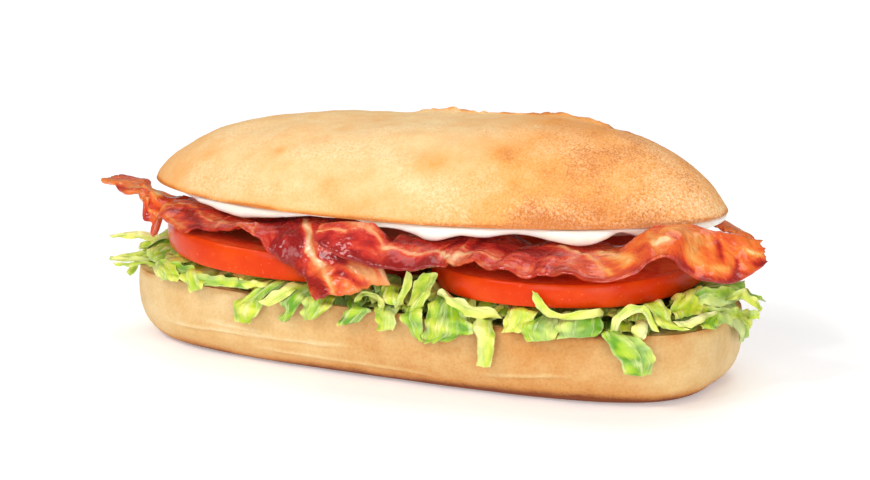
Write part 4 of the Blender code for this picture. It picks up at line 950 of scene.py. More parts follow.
def tomato_parts(slice_sizes, seed):
    """A slice of tomato: rounded skin, and cut faces with a wall of flesh round the seed chambers."""
    centre_x, centre_y, under_z, rise_x, rise_y, radius, thickness = slice_sizes
    angles = np.linspace(-math.pi, math.pi, TOMATO_COLUMNS, endpoint=False)
    edge = radius * (1 + TOMATO_LOBE_DEPTH * np.cos(TOMATO_LOBES * angles + centre_x))
    face = np.linspace(0, 1, TOMATO_FACE_ROWS + 1)[:-1]
    turn = np.linspace(-math.pi / 2, math.pi / 2, TOMATO_SKIN_ROWS)
    skin_reach = edge - TOMATO_SKIN_ROUND * (1 - np.cos(turn))[:, None]
    face_reach = (edge - TOMATO_SKIN_ROUND) * face[:, None]
    reach = np.concatenate([face_reach, skin_reach, face_reach[::-1]])
    flat = np.zeros(TOMATO_FACE_ROWS)
    up = np.concatenate([flat, 0.5 + 0.5 * np.sin(turn), flat + 1])[:, None]
    x, y = reach * np.cos(angles), reach * np.sin(angles)
    rings = stack(centre_x + x, centre_y + y, under_z + up * thickness + rise_x * x + rise_y * y)
    share = reach / edge
    wave = 0.10 * lumps(rings, 9, seed, 2)
    petal = 0.5 + 0.5 * np.cos(TOMATO_LOBES * angles + centre_x + 0.8 * lumps(rings, 20, seed + 1))
    gel = ease(petal, 0.25, 0.6) * bell(share, *TOMATO_CHAMBERS) * (share < TOMATO_WALL)
    on_face = np.where((up == 0) | (up == 1), ease(1 - share, 0.02, 0.06), 0)
    sink = -TOMATO_GEL_SINK * ease(gel, 0.4, 0.8) * on_face
    rings += ring_normals(rings) * ((wave + sink) * ease(share, 0, 0.1))[..., None]
    return ring_parts(rings, {"gel": gel * on_face, "cut": on_face * np.ones(share.shape)})


# Bacon

def smooth_route(stations, count):
    """Rows read evenly from a Catmull-Rom curve through the stations, and the distance along it of each."""
    rows = np.array(stations, float)
    ends = np.vstack([2 * rows[0] - rows[1], rows, 2 * rows[-1] - rows[-2]])
    fine = []
    for a, b, c, d in zip(ends, ends[1:], ends[2:], ends[3:]):
        for t in np.linspace(0, 1, ROUTE_READINGS, endpoint=False):
            bend = (2 * a - 5 * b + 4 * c - d) * t**2 + (3 * b - a - 3 * c + d) * t**3
            fine.append(b + 0.5 * ((c - a) * t + bend))
    fine = np.array(fine + [rows[-1]])
    steps = np.linalg.norm(np.diff(fine[:, :3], axis=0), axis=1)
    distance = np.concatenate([[0], np.cumsum(steps)])
    places = np.linspace(0, distance[-1], count)
    return np.stack([np.interp(places, distance, column) for column in fine.T], axis=1), places


def bacon_points(stations, phase):
    """A grid of points on the middle surface of a strip of bacon, from its inner edge to its outer one."""
    along_count = BACON_ROWS_PER_STATION * len(stations)
    rows, places = smooth_route(stations, along_count + 1)
    tangent = unit(np.gradient(rows[:, :3], axis=0))
    level = unit(np.stack([tangent[:, 1], -tangent[:, 0], np.zeros(len(rows))], axis=1))
    down = np.cross(tangent, level)
    outward = np.linspace(0, 1, BACON_GRID_ACROSS + 1)
    swing = 0.6 + 0.4 * np.sin(places * 0.11 + 2 * phase)
    ripple = BACON_RIPPLE_HEIGHT * swing * np.sin(2 * math.pi * places / BACON_RIPPLE_LENGTH + phase)
    wave = BACON_WAVE_HEIGHT * np.sin(2 * math.pi * places / BACON_WAVE_LENGTH + phase)
    points = np.zeros((len(rows), len(outward), 3))
    for i, (x, y, z, droop, bend, inner, outer) in enumerate(rows):
        width = inner + outer
        across = outward * width - inner
        angle = np.radians(droop + bend * across / width)
        direction = np.outer(np.cos(angle), level[i]) + np.outer(np.sin(angle), down[i])
        steps = 0.5 * (direction[1:] + direction[:-1]) * width / BACON_GRID_ACROSS
        offset = np.vstack([np.zeros(3), np.cumsum(steps, axis=0)])
        offset -= [np.interp(0, across, column) for column in offset.T]
        lift = width / BACON_FULL_WIDTH * (ripple[i] * outward**1.5 + wave[i] * (1 - outward) ** 1.5)
        points[i] = np.array((x, y, z)) + offset + lift[:, None] * np.cross(tangent[i], direction)
    return points


def from_line(points, line):
    """How far points of a plane lie from a line that runs through several places."""
    nearest = np.full(points.shape[:-1], 1e3)
    for start, end in zip(line[:-1], line[1:]):
        span = end - start
        share = np.clip((points - start) @ span / max(span @ span, 1e-9), 0, 1)
        nearest = np.minimum(nearest, np.linalg.norm(points - start - share[..., None] * span, axis=-1))
    return nearest


def bacon_parts(coarse, streaks, notches, seed):
    """A strip of bacon: a ragged rippled sheet with streaks of fat and lean along it."""
    rows, columns = coarse.shape[:2]
    across_rows = steps_along(coarse, 1).sum(axis=1)
    length = steps_along(coarse, 0).mean(axis=1).sum()
    width = across_rows.max()
    t = np.linspace(0, 1, int(length / BACON_SPACING))
    s = np.linspace(0, 1, int(width / BACON_SPACING))
    widths = np.interp(t, np.linspace(0, 1, rows), across_rows)

    def ragged(places, side):
        line = stack(places, side * 40, 0)
        depth = 0.55 + 0.5 * lumps(line, 9, seed) + 0.35 * lumps(line, 2.6, seed + 1)
        return BACON_RAGGED * np.maximum(0, depth)

    low = ragged(t * length, 1) / widths
    high = 1 - (ragged(t * length, 2) + bells(t * length, notches)) / widths
    start = BACON_END_RAGGED * ragged(s * width, 3) / length
    end = 1 - BACON_END_RAGGED * ragged(s * width, 4) / length
    across = low[:, None] + (high - low)[:, None] * s
    along = start + (end - start) * t[:, None]
    points = cubic(coarse, along * (rows - 1), across * (columns - 1))

    flat = stack(along * length, across * widths[:, None], 0)
    bent = flat[..., :2] + stack(0.8 * lumps(flat, 6, 22, 2), 0.7 * lumps(flat, 5, 23, 2), 0)[..., :2]
    value = 0.36 * lumps(flat * (0.08, 0.25, 1), 1, 24, 2) - 0.24 + 0.10 * lumps(flat, 2.4, seed + 2, 2)
    # More orange towards both ends and where it hangs low
    orange = ease(abs(points[..., 0]) + 4 * lumps(flat, 9, seed + 9), *BACON_ORANGE_ENDS)
    orange = np.maximum(orange, 0.8 * ease(points[..., 2], *BACON_ORANGE_LOW))
    value += 0.12 * orange
    for amount, half_width, *line in streaks:
        line = np.array(line, float) * (length, 1)
        line[:, 1] *= np.interp(line[:, 0], t * length, widths)
        value += amount * bell(from_line(bent, line), 0, 0.75 * half_width)
    fat = ease(value, -0.14, 0.14)
    to_edge = to_nearest_edge(t[:, None], s, length, widths[:, None])
    crisp = bell(to_edge, 0, BACON_CRISP_EDGE) * (0.6 + 0.5 * lumps(flat, 7, seed + 3))
    crisp += 0.35 * ease(lumps(flat, 6, seed + 4), 0.1, 0.6)

    crinkle = 0.40 * lumps(flat * (1.0, 0.55, 1), 5.0, seed + 5, 2)
    crinkle += 0.35 * fat * abs(lumps(flat, 3.4, seed + 6))
    crinkle += 0.10 * lumps(flat, 1.2, seed + 7, 2) * (1.2 - fat)
    points = points + sheet_normals(points) * crinkle[..., None]
    body = BACON_LEAN_THICKNESS + BACON_FAT_THICKER * fat + 0.25 * lumps(flat, 3, seed + 8)
    marks = {
        "fat": (value + 1.3) / 2.9,
        "crisp": np.clip(crisp, 0, 1),
        "orange": orange,
        "strip": flat + (0, 0, 10 * seed),
    }
    return sheet_parts(points, body * rounded(to_edge, BACON_EDGE_ROUND), marks)


# Settling: soft sheets are moved until they are clear of what they lie on

def past_outline(x, y, plan, swell=0):
    """How far points lie outside a superellipse, near its edge."""
    half_length, half_width, squareness = plan
    along = abs(x / (half_length + swell)) ** squareness
    across = abs(y / (half_width + swell)) ** squareness
    return np.hypot(x, y) * (1 - 1 / np.maximum((along + across) ** (1 / squareness), 1e-6))


def outside_heel(points):
    """How far points lie outside the heel. Below the cut only its widest outline counts."""
    x, y, z = points.T
    return np.maximum(z - HEEL_HEIGHT, past_outline(x, y, HEEL_PLAN, 2 * HEEL_SWELL))


def outside_crown(points):
    """How far points lie outside the crown and its mayonnaise, seen from below and from the sides."""
    yaw = math.radians(CROWN_YAW)
    x = points[:, 0] * math.cos(yaw) + points[:, 1] * math.sin(yaw)
    y = points[:, 1] * math.cos(yaw) - points[:, 0] * math.sin(yaw)
    depth = MAYO_THICKNESS + bells(x, MAYO_DRIPS) * (y < 0) + mayo_ridge(x, y)
    return np.maximum(crown_cut(x, y) - GAP - depth - points[:, 2], past_outline(x, y, CROWN_PLAN))


def outside_slice(slice_sizes):
    """Gives the function that says how far points lie outside one slice of tomato."""
    centre_x, centre_y, under_z, rise_x, rise_y, radius, thickness = slice_sizes

    def outside(points):
        x, y, z = points.T
        middle = under_z + thickness / 2 + rise_x * (x - centre_x) + rise_y * (y - centre_y)
        beside = np.hypot(x - centre_x, y - centre_y) - radius * (1 + TOMATO_LOBE_DEPTH)
        return np.maximum(abs(z - middle) - thickness / 2, beside)

    return outside


def outside_sheet(sheet, thickness):
    """Gives the function that says how far points lie from a strip of bacon, on either side of it."""
    rows, columns = sheet.shape[:2]
    corners = [(i * columns + j) for i in range(rows - 1) for j in range(columns - 1)]
    faces = [(k, k + 1, k + columns + 1, k + columns) for k in corners]
    tree = BVHTree.FromPolygons([Vector(point) for point in sheet.reshape(-1, 3)], faces)

    def outside(points):
        return np.array([tree.find_nearest(Vector(point))[3] for point in points]) - thickness / 2

    return outside


def push_out(points, shapes, clearance):
    """The moves that take points out to their clearance from the shapes. Clear points stay."""
    moves = np.zeros_like(points)
    for outside in shapes:
        depth = clearance - outside(points)
        near = np.nonzero(depth > 0)[0]
        if not near.size:
            continue
        slopes = [outside(points[near] + step) - outside(points[near] - step) for step in 0.05 * np.eye(3)]
        slope = np.stack(slopes, axis=1)
        length = np.maximum(np.linalg.norm(slope, axis=1, keepdims=True), 1e-9)
        moves[near] += slope / length * (depth[near, None] + 0.03)
    return moves


def settle(points, shapes, clearance, rounds=60):
    """Moves a grid of points until it is clear of the shapes, as a limp sheet would, and says if it is."""
    rows, columns = points.shape[:2]
    grid = np.arange(rows * columns).reshape(rows, columns)
    pairs = [
        (grid, grid),
        (grid[1:], grid[:-1]),
        (grid[:, 1:], grid[:, :-1]),
        (grid[1:, 1:], grid[:-1, :-1]),
        (grid[1:, :-1], grid[:-1, 1:]),
    ]
    first = np.concatenate([a.ravel() for a, _ in pairs])
    second = np.concatenate([b.ravel() for _, b in pairs])
    flat = points.reshape(-1, 3).copy()
    for _ in range(rounds):
        moves = push_out(0.5 * (flat[first] + flat[second]), shapes, clearance)
        moved = np.linalg.norm(moves, axis=1) > 0
        if not moved.any():
            return flat.reshape(points.shape), True
        total = np.zeros_like(flat)
        weight = np.zeros((len(flat), 1))
        for ends in (first[moved], second[moved]):
            np.add.at(total, ends, moves[moved])
            np.add.at(weight, ends, 1)
        shift = (total / np.maximum(weight, 1)).reshape(points.shape)
        padded = np.pad(shift, ((1, 1), (1, 1), (0, 0)), mode="edge")
        around = (padded[:-2, 1:-1] + padded[2:, 1:-1] + padded[1:-1, :-2] + padded[1:-1, 2:]) / 4
        held = weight.reshape(rows, columns, 1) > 0
        flat += np.where(held, shift, 0.5 * around).reshape(-1, 3)
    return flat.reshape(points.shape), False


# Lettuce

def under_tomatoes(x, y):
    """The height of the lowest tomato slice above points, or a great height where there is none."""
    lowest = np.full(np.shape(x), 1e3)
    for centre_x, centre_y, under_z, rise_x, rise_y, radius, _ in TOMATO_SLICES.values():
        near = np.hypot(x - centre_x, y - centre_y) < radius + TOMATO_PRESS_REACH
        z = under_z + rise_x * (x - centre_x) + rise_y * (y - centre_y)
        lowest = np.where(near, np.minimum(lowest, z), lowest)
    return lowest


def shred_points(x, y, z, heading, pitch, bend, turn, roll, length, width, wave):
    """A grid of points on the middle surface of one shred of lettuce."""
    along_count, across_count = LETTUCE_GRID
    places = np.linspace(0, 1, along_count + 1)
    across = np.linspace(-0.5, 0.5, across_count + 1)
    pitches = np.radians(pitch + bend * places)
    headings = np.radians(heading + turn * places)
    flat = np.cos(pitches)
    tangent = np.stack([flat * np.cos(headings), flat * np.sin(headings), np.sin(pitches)], axis=1)
    steps = 0.5 * (tangent[1:] + tangent[:-1]) * length / along_count
    centre = np.vstack([np.zeros(3), np.cumsum(steps, axis=0)]) + np.array((x, y, z))
    level = np.stack([-np.sin(headings), np.cos(headings), np.zeros(len(places))], axis=1)
    side = math.cos(math.radians(roll)) * level + math.sin(math.radians(roll)) * np.cross(tangent, level)
    normal = np.cross(tangent, side)
    taper = 0.5 + 0.5 * np.sin(math.pi * (0.15 + 0.7 * places))
    points = np.zeros((along_count + 1, across_count + 1, 3))
    for j, share in enumerate(across):
        lift = wave * (1 - 4 * share**2) + wave * 2 * share * np.sin(0.5 * length * places + x)
        points[:, j] = centre + side * (share * width * taper)[:, None] + normal * lift[:, None]
    return points


def ribbon_points(stations):
    """A grid of points on the middle surface of a shred given by its edges, with a root in the bed."""
    edges = edges_seen(stations)
    x, y, _ = edges[0].mean(axis=0)
    outward = unit(np.array((x / HEEL_HALF_LENGTH**2, y / HEEL_HALF_WIDTH**2, 0)))
    root = edges[0] - outward * LETTUCE_ROOT_REACH
    height = root[:, 2].mean()
    root[:, 2] += np.clip(height, *LETTUCE_ROOT_HEIGHTS) - height
    edges = np.concatenate([root[None], edges])
    middle = edges.mean(axis=1)
    across = edges[:, 1] - edges[:, 0]
    normal = unit(np.cross(np.gradient(middle, axis=0), across))
    middle += LETTUCE_CURL * np.linalg.norm(across, axis=1, keepdims=True) * normal
    return np.stack([edges[:, 0], middle, edges[:, 1]], axis=1)


def rim_place(angle, inset):
    """A place inside the heel's edge, and the direction that leads straight out of the heap there."""
    reach = float(plan_radius(angle, HEEL_PLAN, inset))
    x, y = reach * math.cos(angle), reach * math.sin(angle)
    return x, y, math.degrees(math.atan2(y / HEEL_HALF_WIDTH**2, x / HEEL_HALF_LENGTH**2))


def drawn_sizes(draw, turns, sizes, outward, least_length=0):
    """A shred's turns and sizes, drawn between their limits. It heads about straight outwards."""
    drawn = [draw.uniform(*limits) for limits in turns + sizes]
    heading, pitch, bend, turn, roll, length, width, wave = drawn
    return outward + heading, pitch, bend, turn, roll, least_length + length, width, wave


def rim_shreds():
    """Sizes of the generic shreds, spread along the rim of the heel and varied by a seeded draw."""
    draw = random.Random(LETTUCE_SEED)
    start, end = LETTUCE_RIM_ARC
    step = (end - start) / (LETTUCE_RIM_SHREDS - 1)
    for k in range(LETTUCE_RIM_SHREDS):
        angle = math.radians(start + step * (k + draw.uniform(-LETTUCE_RIM_STRAY, LETTUCE_RIM_STRAY)))
        # The rim is long at the front and back, so the angle is stretched to spread the shreds evenly
        angle = math.atan2(HEEL_HALF_WIDTH * math.sin(angle), HEEL_HALF_LENGTH * math.cos(angle))
        x, y, outward = rim_place(angle, draw.uniform(*LETTUCE_RIM_INSETS))
        highest = float(under_tomatoes(x, y)) - LETTUCE_THICKNESS - GAP
        z = min(draw.uniform(*LETTUCE_ROOT_HEIGHTS), highest)
        yield x, y, z, *drawn_sizes(draw, LETTUCE_RIM_TURNS, LETTUCE_RIM_SIZES, outward)


def fill_shreds():
    """Sizes of short shreds in layers, which fill the edge of the heap and stay on the heel."""
    draw = random.Random(LETTUCE_FILL_SEED)
    for layer_z, count in LETTUCE_FILL_LAYERS:
        for angle in outline_angles(HEEL_PLAN, count).tolist():
            angle += draw.uniform(-LETTUCE_FILL_STRAY, LETTUCE_FILL_STRAY)
            inset = draw.uniform(*LETTUCE_FILL_INSETS)
            x, y, outward = rim_place(angle, inset)
            highest = float(under_tomatoes(x, y)) - LETTUCE_FILL_ROOM
            z = min(layer_z + draw.uniform(-LETTUCE_FILL_STRAY_UP, LETTUCE_FILL_STRAY_UP), highest)
            sizes = LETTUCE_FILL_SIZES_FRONT if y < 0 else LETTUCE_FILL_SIZES_BACK
            yield x, y, z, *drawn_sizes(draw, LETTUCE_FILL_TURNS, sizes, outward, inset)


def leaf_parts(coarse, draw, tone, spacing):
    """One shred of leaf: a thin crumpled sheet with ragged edges, a pale rib on some, and painted shade in
    its folds.
    """
    rows, columns = coarse.shape[:2]
    length = steps_along(coarse, 0).mean(axis=1).sum()
    width = steps_along(coarse, 1).sum(axis=1).mean()
    t = np.linspace(0, 1, int(np.clip(length / spacing, *LETTUCE_POINTS_ALONG)))[:, None]
    s = np.linspace(0, 1, int(np.clip(width / spacing, *LETTUCE_POINTS_ACROSS)))
    seed = draw.uniform(0, 50)
    low = LETTUCE_RAGGED_SIDES * (1 + lumps(stack(t * length, 5, seed), 3, 25, 3))
    high = 1 - LETTUCE_RAGGED_SIDES * (1 + lumps(stack(t * length, 55, seed), 3, 26, 3))
    start = 0.01 + draw.uniform(-LETTUCE_SLANT, LETTUCE_SLANT) * (s - 0.5)
    end = 0.98 + draw.uniform(-LETTUCE_SLANT, LETTUCE_SLANT) * (s - 0.5)
    end -= LETTUCE_RAGGED_TIP * (1 + lumps(stack(s * width, 95, seed), 3, 27))
    across = low + (high - low) * s
    along = np.clip(start + (end - start) * t, 0, 1)
    points = cubic(coarse, along * (rows - 1), across * (columns - 1))
    frill = draw.uniform(*LETTUCE_FRILL_HEIGHTS) * abs(2 * s - 1) ** 1.6
    wave_length = draw.uniform(*LETTUCE_FRILL_LENGTHS)
    wave = np.sin(2 * math.pi * along * length / wave_length + 2.4 * (s > 0.5) + seed)
    flat = stack(along * length, across * width, seed)
    folds = abs(lumps(flat * (1, 1.6, 1), 7, 28)) + 0.5 * abs(lumps(flat * (0.7, 1.5, 1), 3.5, 35))
    lift = frill * wave + 1.5 * folds - 0.5 + 0.30 * lumps(flat, 2.4, 30, 2)
    points = points + sheet_normals(points) * (lift * ease(along, 0, 0.2))[..., None]
    green, pale = tone
    rib_at = draw.choice(LETTUCE_RIB_PLACES) + 0.3 * (along - 0.5) * draw.uniform(-1, 1)
    rib = pale * bell(across, rib_at, 0.25 + 0.35 * pale) * (1.1 - 0.4 * along)
    to_edge = to_nearest_edge(t, s, length, width)
    rib = np.maximum(rib, 0.30 * bell(to_edge, 0, 0.35))
    body = LETTUCE_LEAF_THICKNESS * (0.8 + 1.1 * rib)
    # The green mark is made darker where the leaf sinks between its folds: painted shade
    marks = {"rib": rib, "green": green - 0.55 * (lift - 0.3), "leaf": flat}
    return sheet_parts(points, body * rounded(to_edge, LETTUCE_LEAF_ROUND), marks)


def leaves(shreds, shapes, clearance, spacing, draw):
    """The shreds that can be laid clear of the shapes, as one set of parts."""
    laid = []
    for coarse, tone in shreds:
        points, clear = settle(coarse, shapes, clearance)
        if clear:
            laid.append(leaf_parts(points, draw, tone, spacing))
    return joined(laid)


def core_parts():
    """The middle of the heap, which shows only as dark green between the shreds."""
    angles = outline_angles(HEEL_PLAN, LETTUCE_CORE_COLUMNS, LETTUCE_CORE_INSET)
    reach = plan_radius(angles, HEEL_PLAN, LETTUCE_CORE_INSET)
    low = np.linspace(0, 1, LETTUCE_CORE_UNDER_ROWS + 1)[:-1]
    turn = np.linspace(0, math.pi / 2, LETTUCE_CORE_TOP_ROWS)
    share = np.concatenate([low, np.cos(turn)])[:, None]
    rise = np.concatenate([np.zeros(len(low)), np.minimum(1, 1.6 * np.sin(turn))])[:, None]
    x, y = share * reach * np.cos(angles), share * reach * np.sin(angles)
    top = LETTUCE_BED_TOP + LETTUCE_BED_WAVE * lumps(stack(x, y, 0), 9, 3)
    floor = HEEL_HEIGHT + GAP
    z = floor + rise * (np.minimum(top, under_tomatoes(x, y) - GAP) - floor)
    crumple = rise * (1.2 * lumps(stack(x, y, z), 5, 29, 2) - 1.0) * ease(share, 0, 0.2)
    return ring_parts(stack(x, y, np.maximum(floor, z + crumple)), {})


# Materials

class Surface:
    """A material whose nodes are made by short calls. Sizes in its textures are in millimetres."""

    def __init__(self, name):
        self.material = bpy.data.materials.new(name)
        self.material.use_nodes = True
        self.tree = self.material.node_tree
        self.shader = self.tree.nodes["Principled BSDF"]
        place = self.node("TexCoord", {}).outputs["Object"]
        self.place = self.node("VectorMath", {0: place, "Scale": 1 / MM}, operation="SCALE").outputs[0]

    def put(self, value, socket):
        """Links a node's output to an input, or sets the input to a number or a colour."""
        if isinstance(value, bpy.types.NodeSocket):
            self.tree.links.new(value, socket)
        elif isinstance(value, tuple) and len(socket.default_value) == 4:
            socket.default_value = (*value, 1)
        else:
            socket.default_value = value

    def node(self, kind, inputs, **settings):
        """A new node with its settings and its inputs."""
        made = self.tree.nodes.new("ShaderNode" + kind)
        for name, value in settings.items():
            setattr(made, name, value)
        for name, value in inputs.items():
            self.put(value, made.inputs[name])
        return made

    def maths(self, operation, first, second):
        return self.node("Math", {0: first, 1: second}, operation=operation).outputs[0]

    def times(self, first, second):
        return self.maths("MULTIPLY", first, second)

    def plus(self, first, *others):
        for other in others:
            first = self.maths("ADD", first, other)
        return first

    def mark(self, name, output="Fac"):
        """What the mesh says about each of its points under a name."""
        return self.node("Attribute", {}, attribute_name=name).outputs[output]

    def noise(self, size, place=None, detail=3.0, stretch=None, roughness=0.55):
        place = self.place if place is None else place
        if stretch is not None:
            place = self.node("VectorMath", {0: place, 1: stretch}, operation="MULTIPLY").outputs[0]
        inputs = {"Vector": place, "Scale": 1 / size, "Detail": detail, "Roughness": roughness}
        return self.node("TexNoise", inputs).outputs["Fac"]

    def cells(self, size, feature="F1"):
        inputs = {"Vector": self.place, "Scale": 1 / size}
        return self.node("TexVoronoi", inputs, feature=feature).outputs["Distance"]

    def range(self, value, start, end, low=0.0, high=1.0):
        """Goes smoothly from low at start to high at end."""
        inputs = {"Value": value, "From Min": start, "From Max": end, "To Min": low, "To Max": high}
        return self.node("MapRange", inputs, interpolation_type="SMOOTHSTEP").outputs["Result"]

    def mix(self, share, first, second):
        """Goes from one colour to another. The mixer's sockets 6 and 7 take colours."""
        return self.node("Mix", {0: share, 6: first, 7: second}, data_type="RGBA").outputs[2]

    def patches(self, size, first, second, detail=3.0):
        """Two colours in soft patches."""
        return self.mix(self.range(self.noise(size, detail=detail), 0.35, 0.7), first, second)

    def ramp(self, value, *stops):
        made = self.node("ValToRGB", {"Fac": value})
        elements = made.color_ramp.elements
        while len(elements) < len(stops):
            elements.new(0.5)
        for element, (at, colour) in zip(elements, stops):
            element.position = at
            element.color = (*colour, 1)
        return made.outputs["Color"]

    def bump(self, height, distance, strength=1.0, under=None):
        """Small relief, on top of the relief that is under it."""
        inputs = {"Height": height, "Distance": distance * MM, "Strength": strength}
        if under is not None:
            inputs["Normal"] = under
        return self.node("Bump", inputs).outputs["Normal"]

    def finish(self, **sockets):
        for name, value in sockets.items():
            self.put(value, self.shader.inputs[name.replace("_", " ")])
        return self.material


def crust_material(name, bakes):
    """Baked crust, from pale to brown, dusted with flour, with crumb on the cut faces. Its tone holds some
    painted shade and highlight, and the crumb is painted brighter as light.
    """
    crust = Surface(name)
    # The bake mark holds the crust's baking together with painted shade low on the crown and a painted
    # highlight along the heel's creases
    bake, flour, cut = crust.mark("bake"), crust.mark("flour"), crust.mark("cut")
    blotch = crust.range(crust.noise(6.0, detail=5), 0.3, 0.7, -0.05, 0.05)
    fleck = crust.range(crust.noise(0.8, detail=3), 0.35, 0.75, -0.07, 0.10)
    fleck = crust.times(fleck, crust.plus(flour, 0.45))
    dust = crust.range(crust.noise(0.58, detail=5, roughness=0.75), 0.39, 0.70)
    dust = crust.times(dust, flour)
    tone = crust.maths("SUBTRACT", crust.plus(bake, blotch, fleck), crust.times(dust, 0.27))
    colour = crust.ramp(tone, *zip((0.08, 0.34, 0.62, 0.95), bakes))
    colour = crust.mix(crust.times(dust, 0.42), colour, (0.99, 0.83, 0.58))
    holes = crust.range(crust.cells(1.7), 0.10, 0.45)
    # The crumb colours are partly the crumb's own toasted colour and partly painted light: brighter than
    # crumb is, on a cut face that lies in shade
    deep = crust.mix(bake, (0.97, 0.62, 0.24), (0.96, 0.50, 0.12))
    high = crust.mix(bake, (0.98, 0.74, 0.40), (0.97, 0.60, 0.18))
    colour = crust.mix(cut, colour, crust.mix(holes, deep, high))
    relief = crust.bump(crust.noise(0.55, detail=4, roughness=0.7), 0.10, 0.55)
    relief = crust.bump(crust.cells(2.6, "SMOOTH_F1"), 0.20, 0.25, relief)
    relief = crust.bump(crust.times(holes, cut), 0.4, 0.3, relief)
    rough = crust.range(cut, 0.0, 0.5, 0.65, 0.95)
    return crust.finish(Base_Color=colour, Normal=relief, Roughness=rough, Specular_IOR_Level=0.15)


def mayo_material():
    """Glossy cream white, with soft light in it."""
    mayo = Surface("mayonnaise")
    return mayo.finish(
        Base_Color=mayo.patches(6.0, (0.98, 0.94, 0.84), (0.97, 0.91, 0.77)),
        Normal=mayo.bump(mayo.noise(2.4, detail=2), 0.25, 0.5),
        Roughness=0.28,
        Subsurface_Weight=0.4,
        Subsurface_Radius=(1.0, 0.8, 0.5),
        Subsurface_Scale=2 * MM,
        Coat_Weight=0.3,
        Coat_Roughness=0.15,
    )


def tomato_material():
    """Wet skin and flesh, with streaks in the wall and gel and seeds in the chambers."""
    tomato = Surface("tomato")
    cut, gel = tomato.mark("cut"), tomato.mark("gel")
    skin = tomato.patches(9.0, (0.66, 0.040, 0.002), (0.72, 0.062, 0.004), detail=2)
    # Lighter orange specks on the skin: painted glints
    painted_glints = tomato.range(tomato.noise(0.8, detail=2), 0.66, 0.76)
    skin = tomato.mix(tomato.times(painted_glints, 0.35), skin, (0.92, 0.32, 0.10))
    flesh = tomato.patches(2.5, (0.90, 0.060, 0.010), (0.95, 0.15, 0.04), detail=4)
    seeds = tomato.range(tomato.cells(3.2), 0.10, 0.22, 1.0, 0.0)
    jelly = tomato.mix(seeds, (0.72, 0.14, 0.02), (0.88, 0.62, 0.24))
    inside = tomato.mix(tomato.range(gel, 0.35, 0.7), flesh, jelly)
    pores = tomato.bump(tomato.noise(1.4, detail=4), 0.12, 0.35)
    return tomato.finish(
        Base_Color=tomato.mix(cut, skin, inside),
        Normal=tomato.bump(tomato.times(seeds, gel), 0.5, 0.6, pores),
        Roughness=tomato.range(cut, 0.0, 1.0, 0.26, 0.60),
        Subsurface_Weight=0.1,
        Subsurface_Radius=(1.0, 0.25, 0.1),
        Subsurface_Scale=2 * MM,
        Specular_IOR_Level=0.14,
    )


def bacon_material():
    """Dark red lean with a pitted wet surface, orange and cream fat, and browned crisp edges."""
    bacon = Surface("bacon")
    strip, fat, crisp = bacon.mark("strip", "Vector"), bacon.mark("fat"), bacon.mark("crisp")
    fibre = bacon.range(bacon.noise(1.6, strip, stretch=(0.35, 1.0, 1.0), detail=4), 0.3, 0.7, -0.07, 0.07)
    cloud = bacon.range(bacon.noise(3.5, strip, stretch=(0.6, 1.0, 1.0), detail=3), 0.3, 0.7, -0.10, 0.10)
    tone = bacon.plus(fat, fibre, cloud)
    fried = bacon.ramp(tone, *BACON_FRIED_TONES)
    colour = bacon.mix(bacon.mark("orange"), bacon.ramp(tone, *BACON_TONES), fried)
    burnt = bacon.mix(bacon.range(fat, 0.35, 0.55), (0.22, 0.014, 0.008), (0.50, 0.050, 0.010))
    relief = bacon.bump(bacon.noise(1.7, strip, detail=2), 0.9, 0.7)
    relief = bacon.bump(bacon.noise(1.3, strip, stretch=(0.25, 1.0, 1.0), detail=2), 0.25, 0.4, relief)
    relief = bacon.bump(bacon.noise(0.5, strip, detail=3), 0.12, 0.5, relief)
    return bacon.finish(
        Base_Color=bacon.mix(bacon.times(crisp, 0.6), colour, burnt),
        Normal=relief,
        Roughness=bacon.range(bacon.noise(4.0, strip, detail=2), 0.35, 0.65, 0.14, 0.32),
        Subsurface_Weight=0.05,
        Subsurface_Radius=(1.0, 0.3, 0.12),
        Subsurface_Scale=1 * MM,
        Specular_IOR_Level=0.12,
        Coat_Weight=0.55,
        Coat_Roughness=0.05,
    )


def lettuce_material():
    """Crisp leaf: white-green ribs, bright yellow-green blades and deeper green edges."""
    leaf = Surface("lettuce")
    rib, green, place = leaf.mark("rib"), leaf.mark("green"), leaf.mark("leaf", "Vector")
    cloud = leaf.range(leaf.noise(3.5, place, stretch=(0.4, 1.0, 1.0), detail=4), 0.3, 0.7, -0.17, 0.17)
    # The green mark also holds painted shade, darker where the leaf sinks in its folds
    blade = leaf.ramp(leaf.plus(green, cloud), *LETTUCE_TONES)
    veins_and_highlights = leaf.range(leaf.noise(1.2, place, stretch=(0.14, 1.0, 1.0), detail=4), 0.46, 0.66)
    # Pale streaks along the veins, partly real veins and partly painted highlights
    pale = leaf.maths("MAXIMUM", rib, leaf.times(veins_and_highlights, 0.42))
    crinkle = leaf.bump(leaf.noise(1.6, place, detail=3), 0.30, 0.5)
    return leaf.finish(
        Base_Color=leaf.mix(pale, blade, (0.92, 0.92, 0.48)),
        Normal=leaf.bump(veins_and_highlights, 0.45, 0.6, crinkle),
        Roughness=0.30,
        Subsurface_Weight=0.06,
        Subsurface_Radius=(0.7, 1.0, 0.2),
        Subsurface_Scale=1 * MM,
        Specular_IOR_Level=0.40,
    )


def core_material():
    """The inside of the heap of lettuce, painted dark green as the shade between the shreds."""
    core = Surface("lettuce core")
    colour = core.ramp(core.noise(3.0, detail=4), (0.35, (0.06, 0.10, 0.008)), (0.70, (0.36, 0.46, 0.03)))
    return core.finish(Base_Color=colour, Roughness=0.6, Normal=core.bump(core.noise(1.5), 0.8, 0.8))


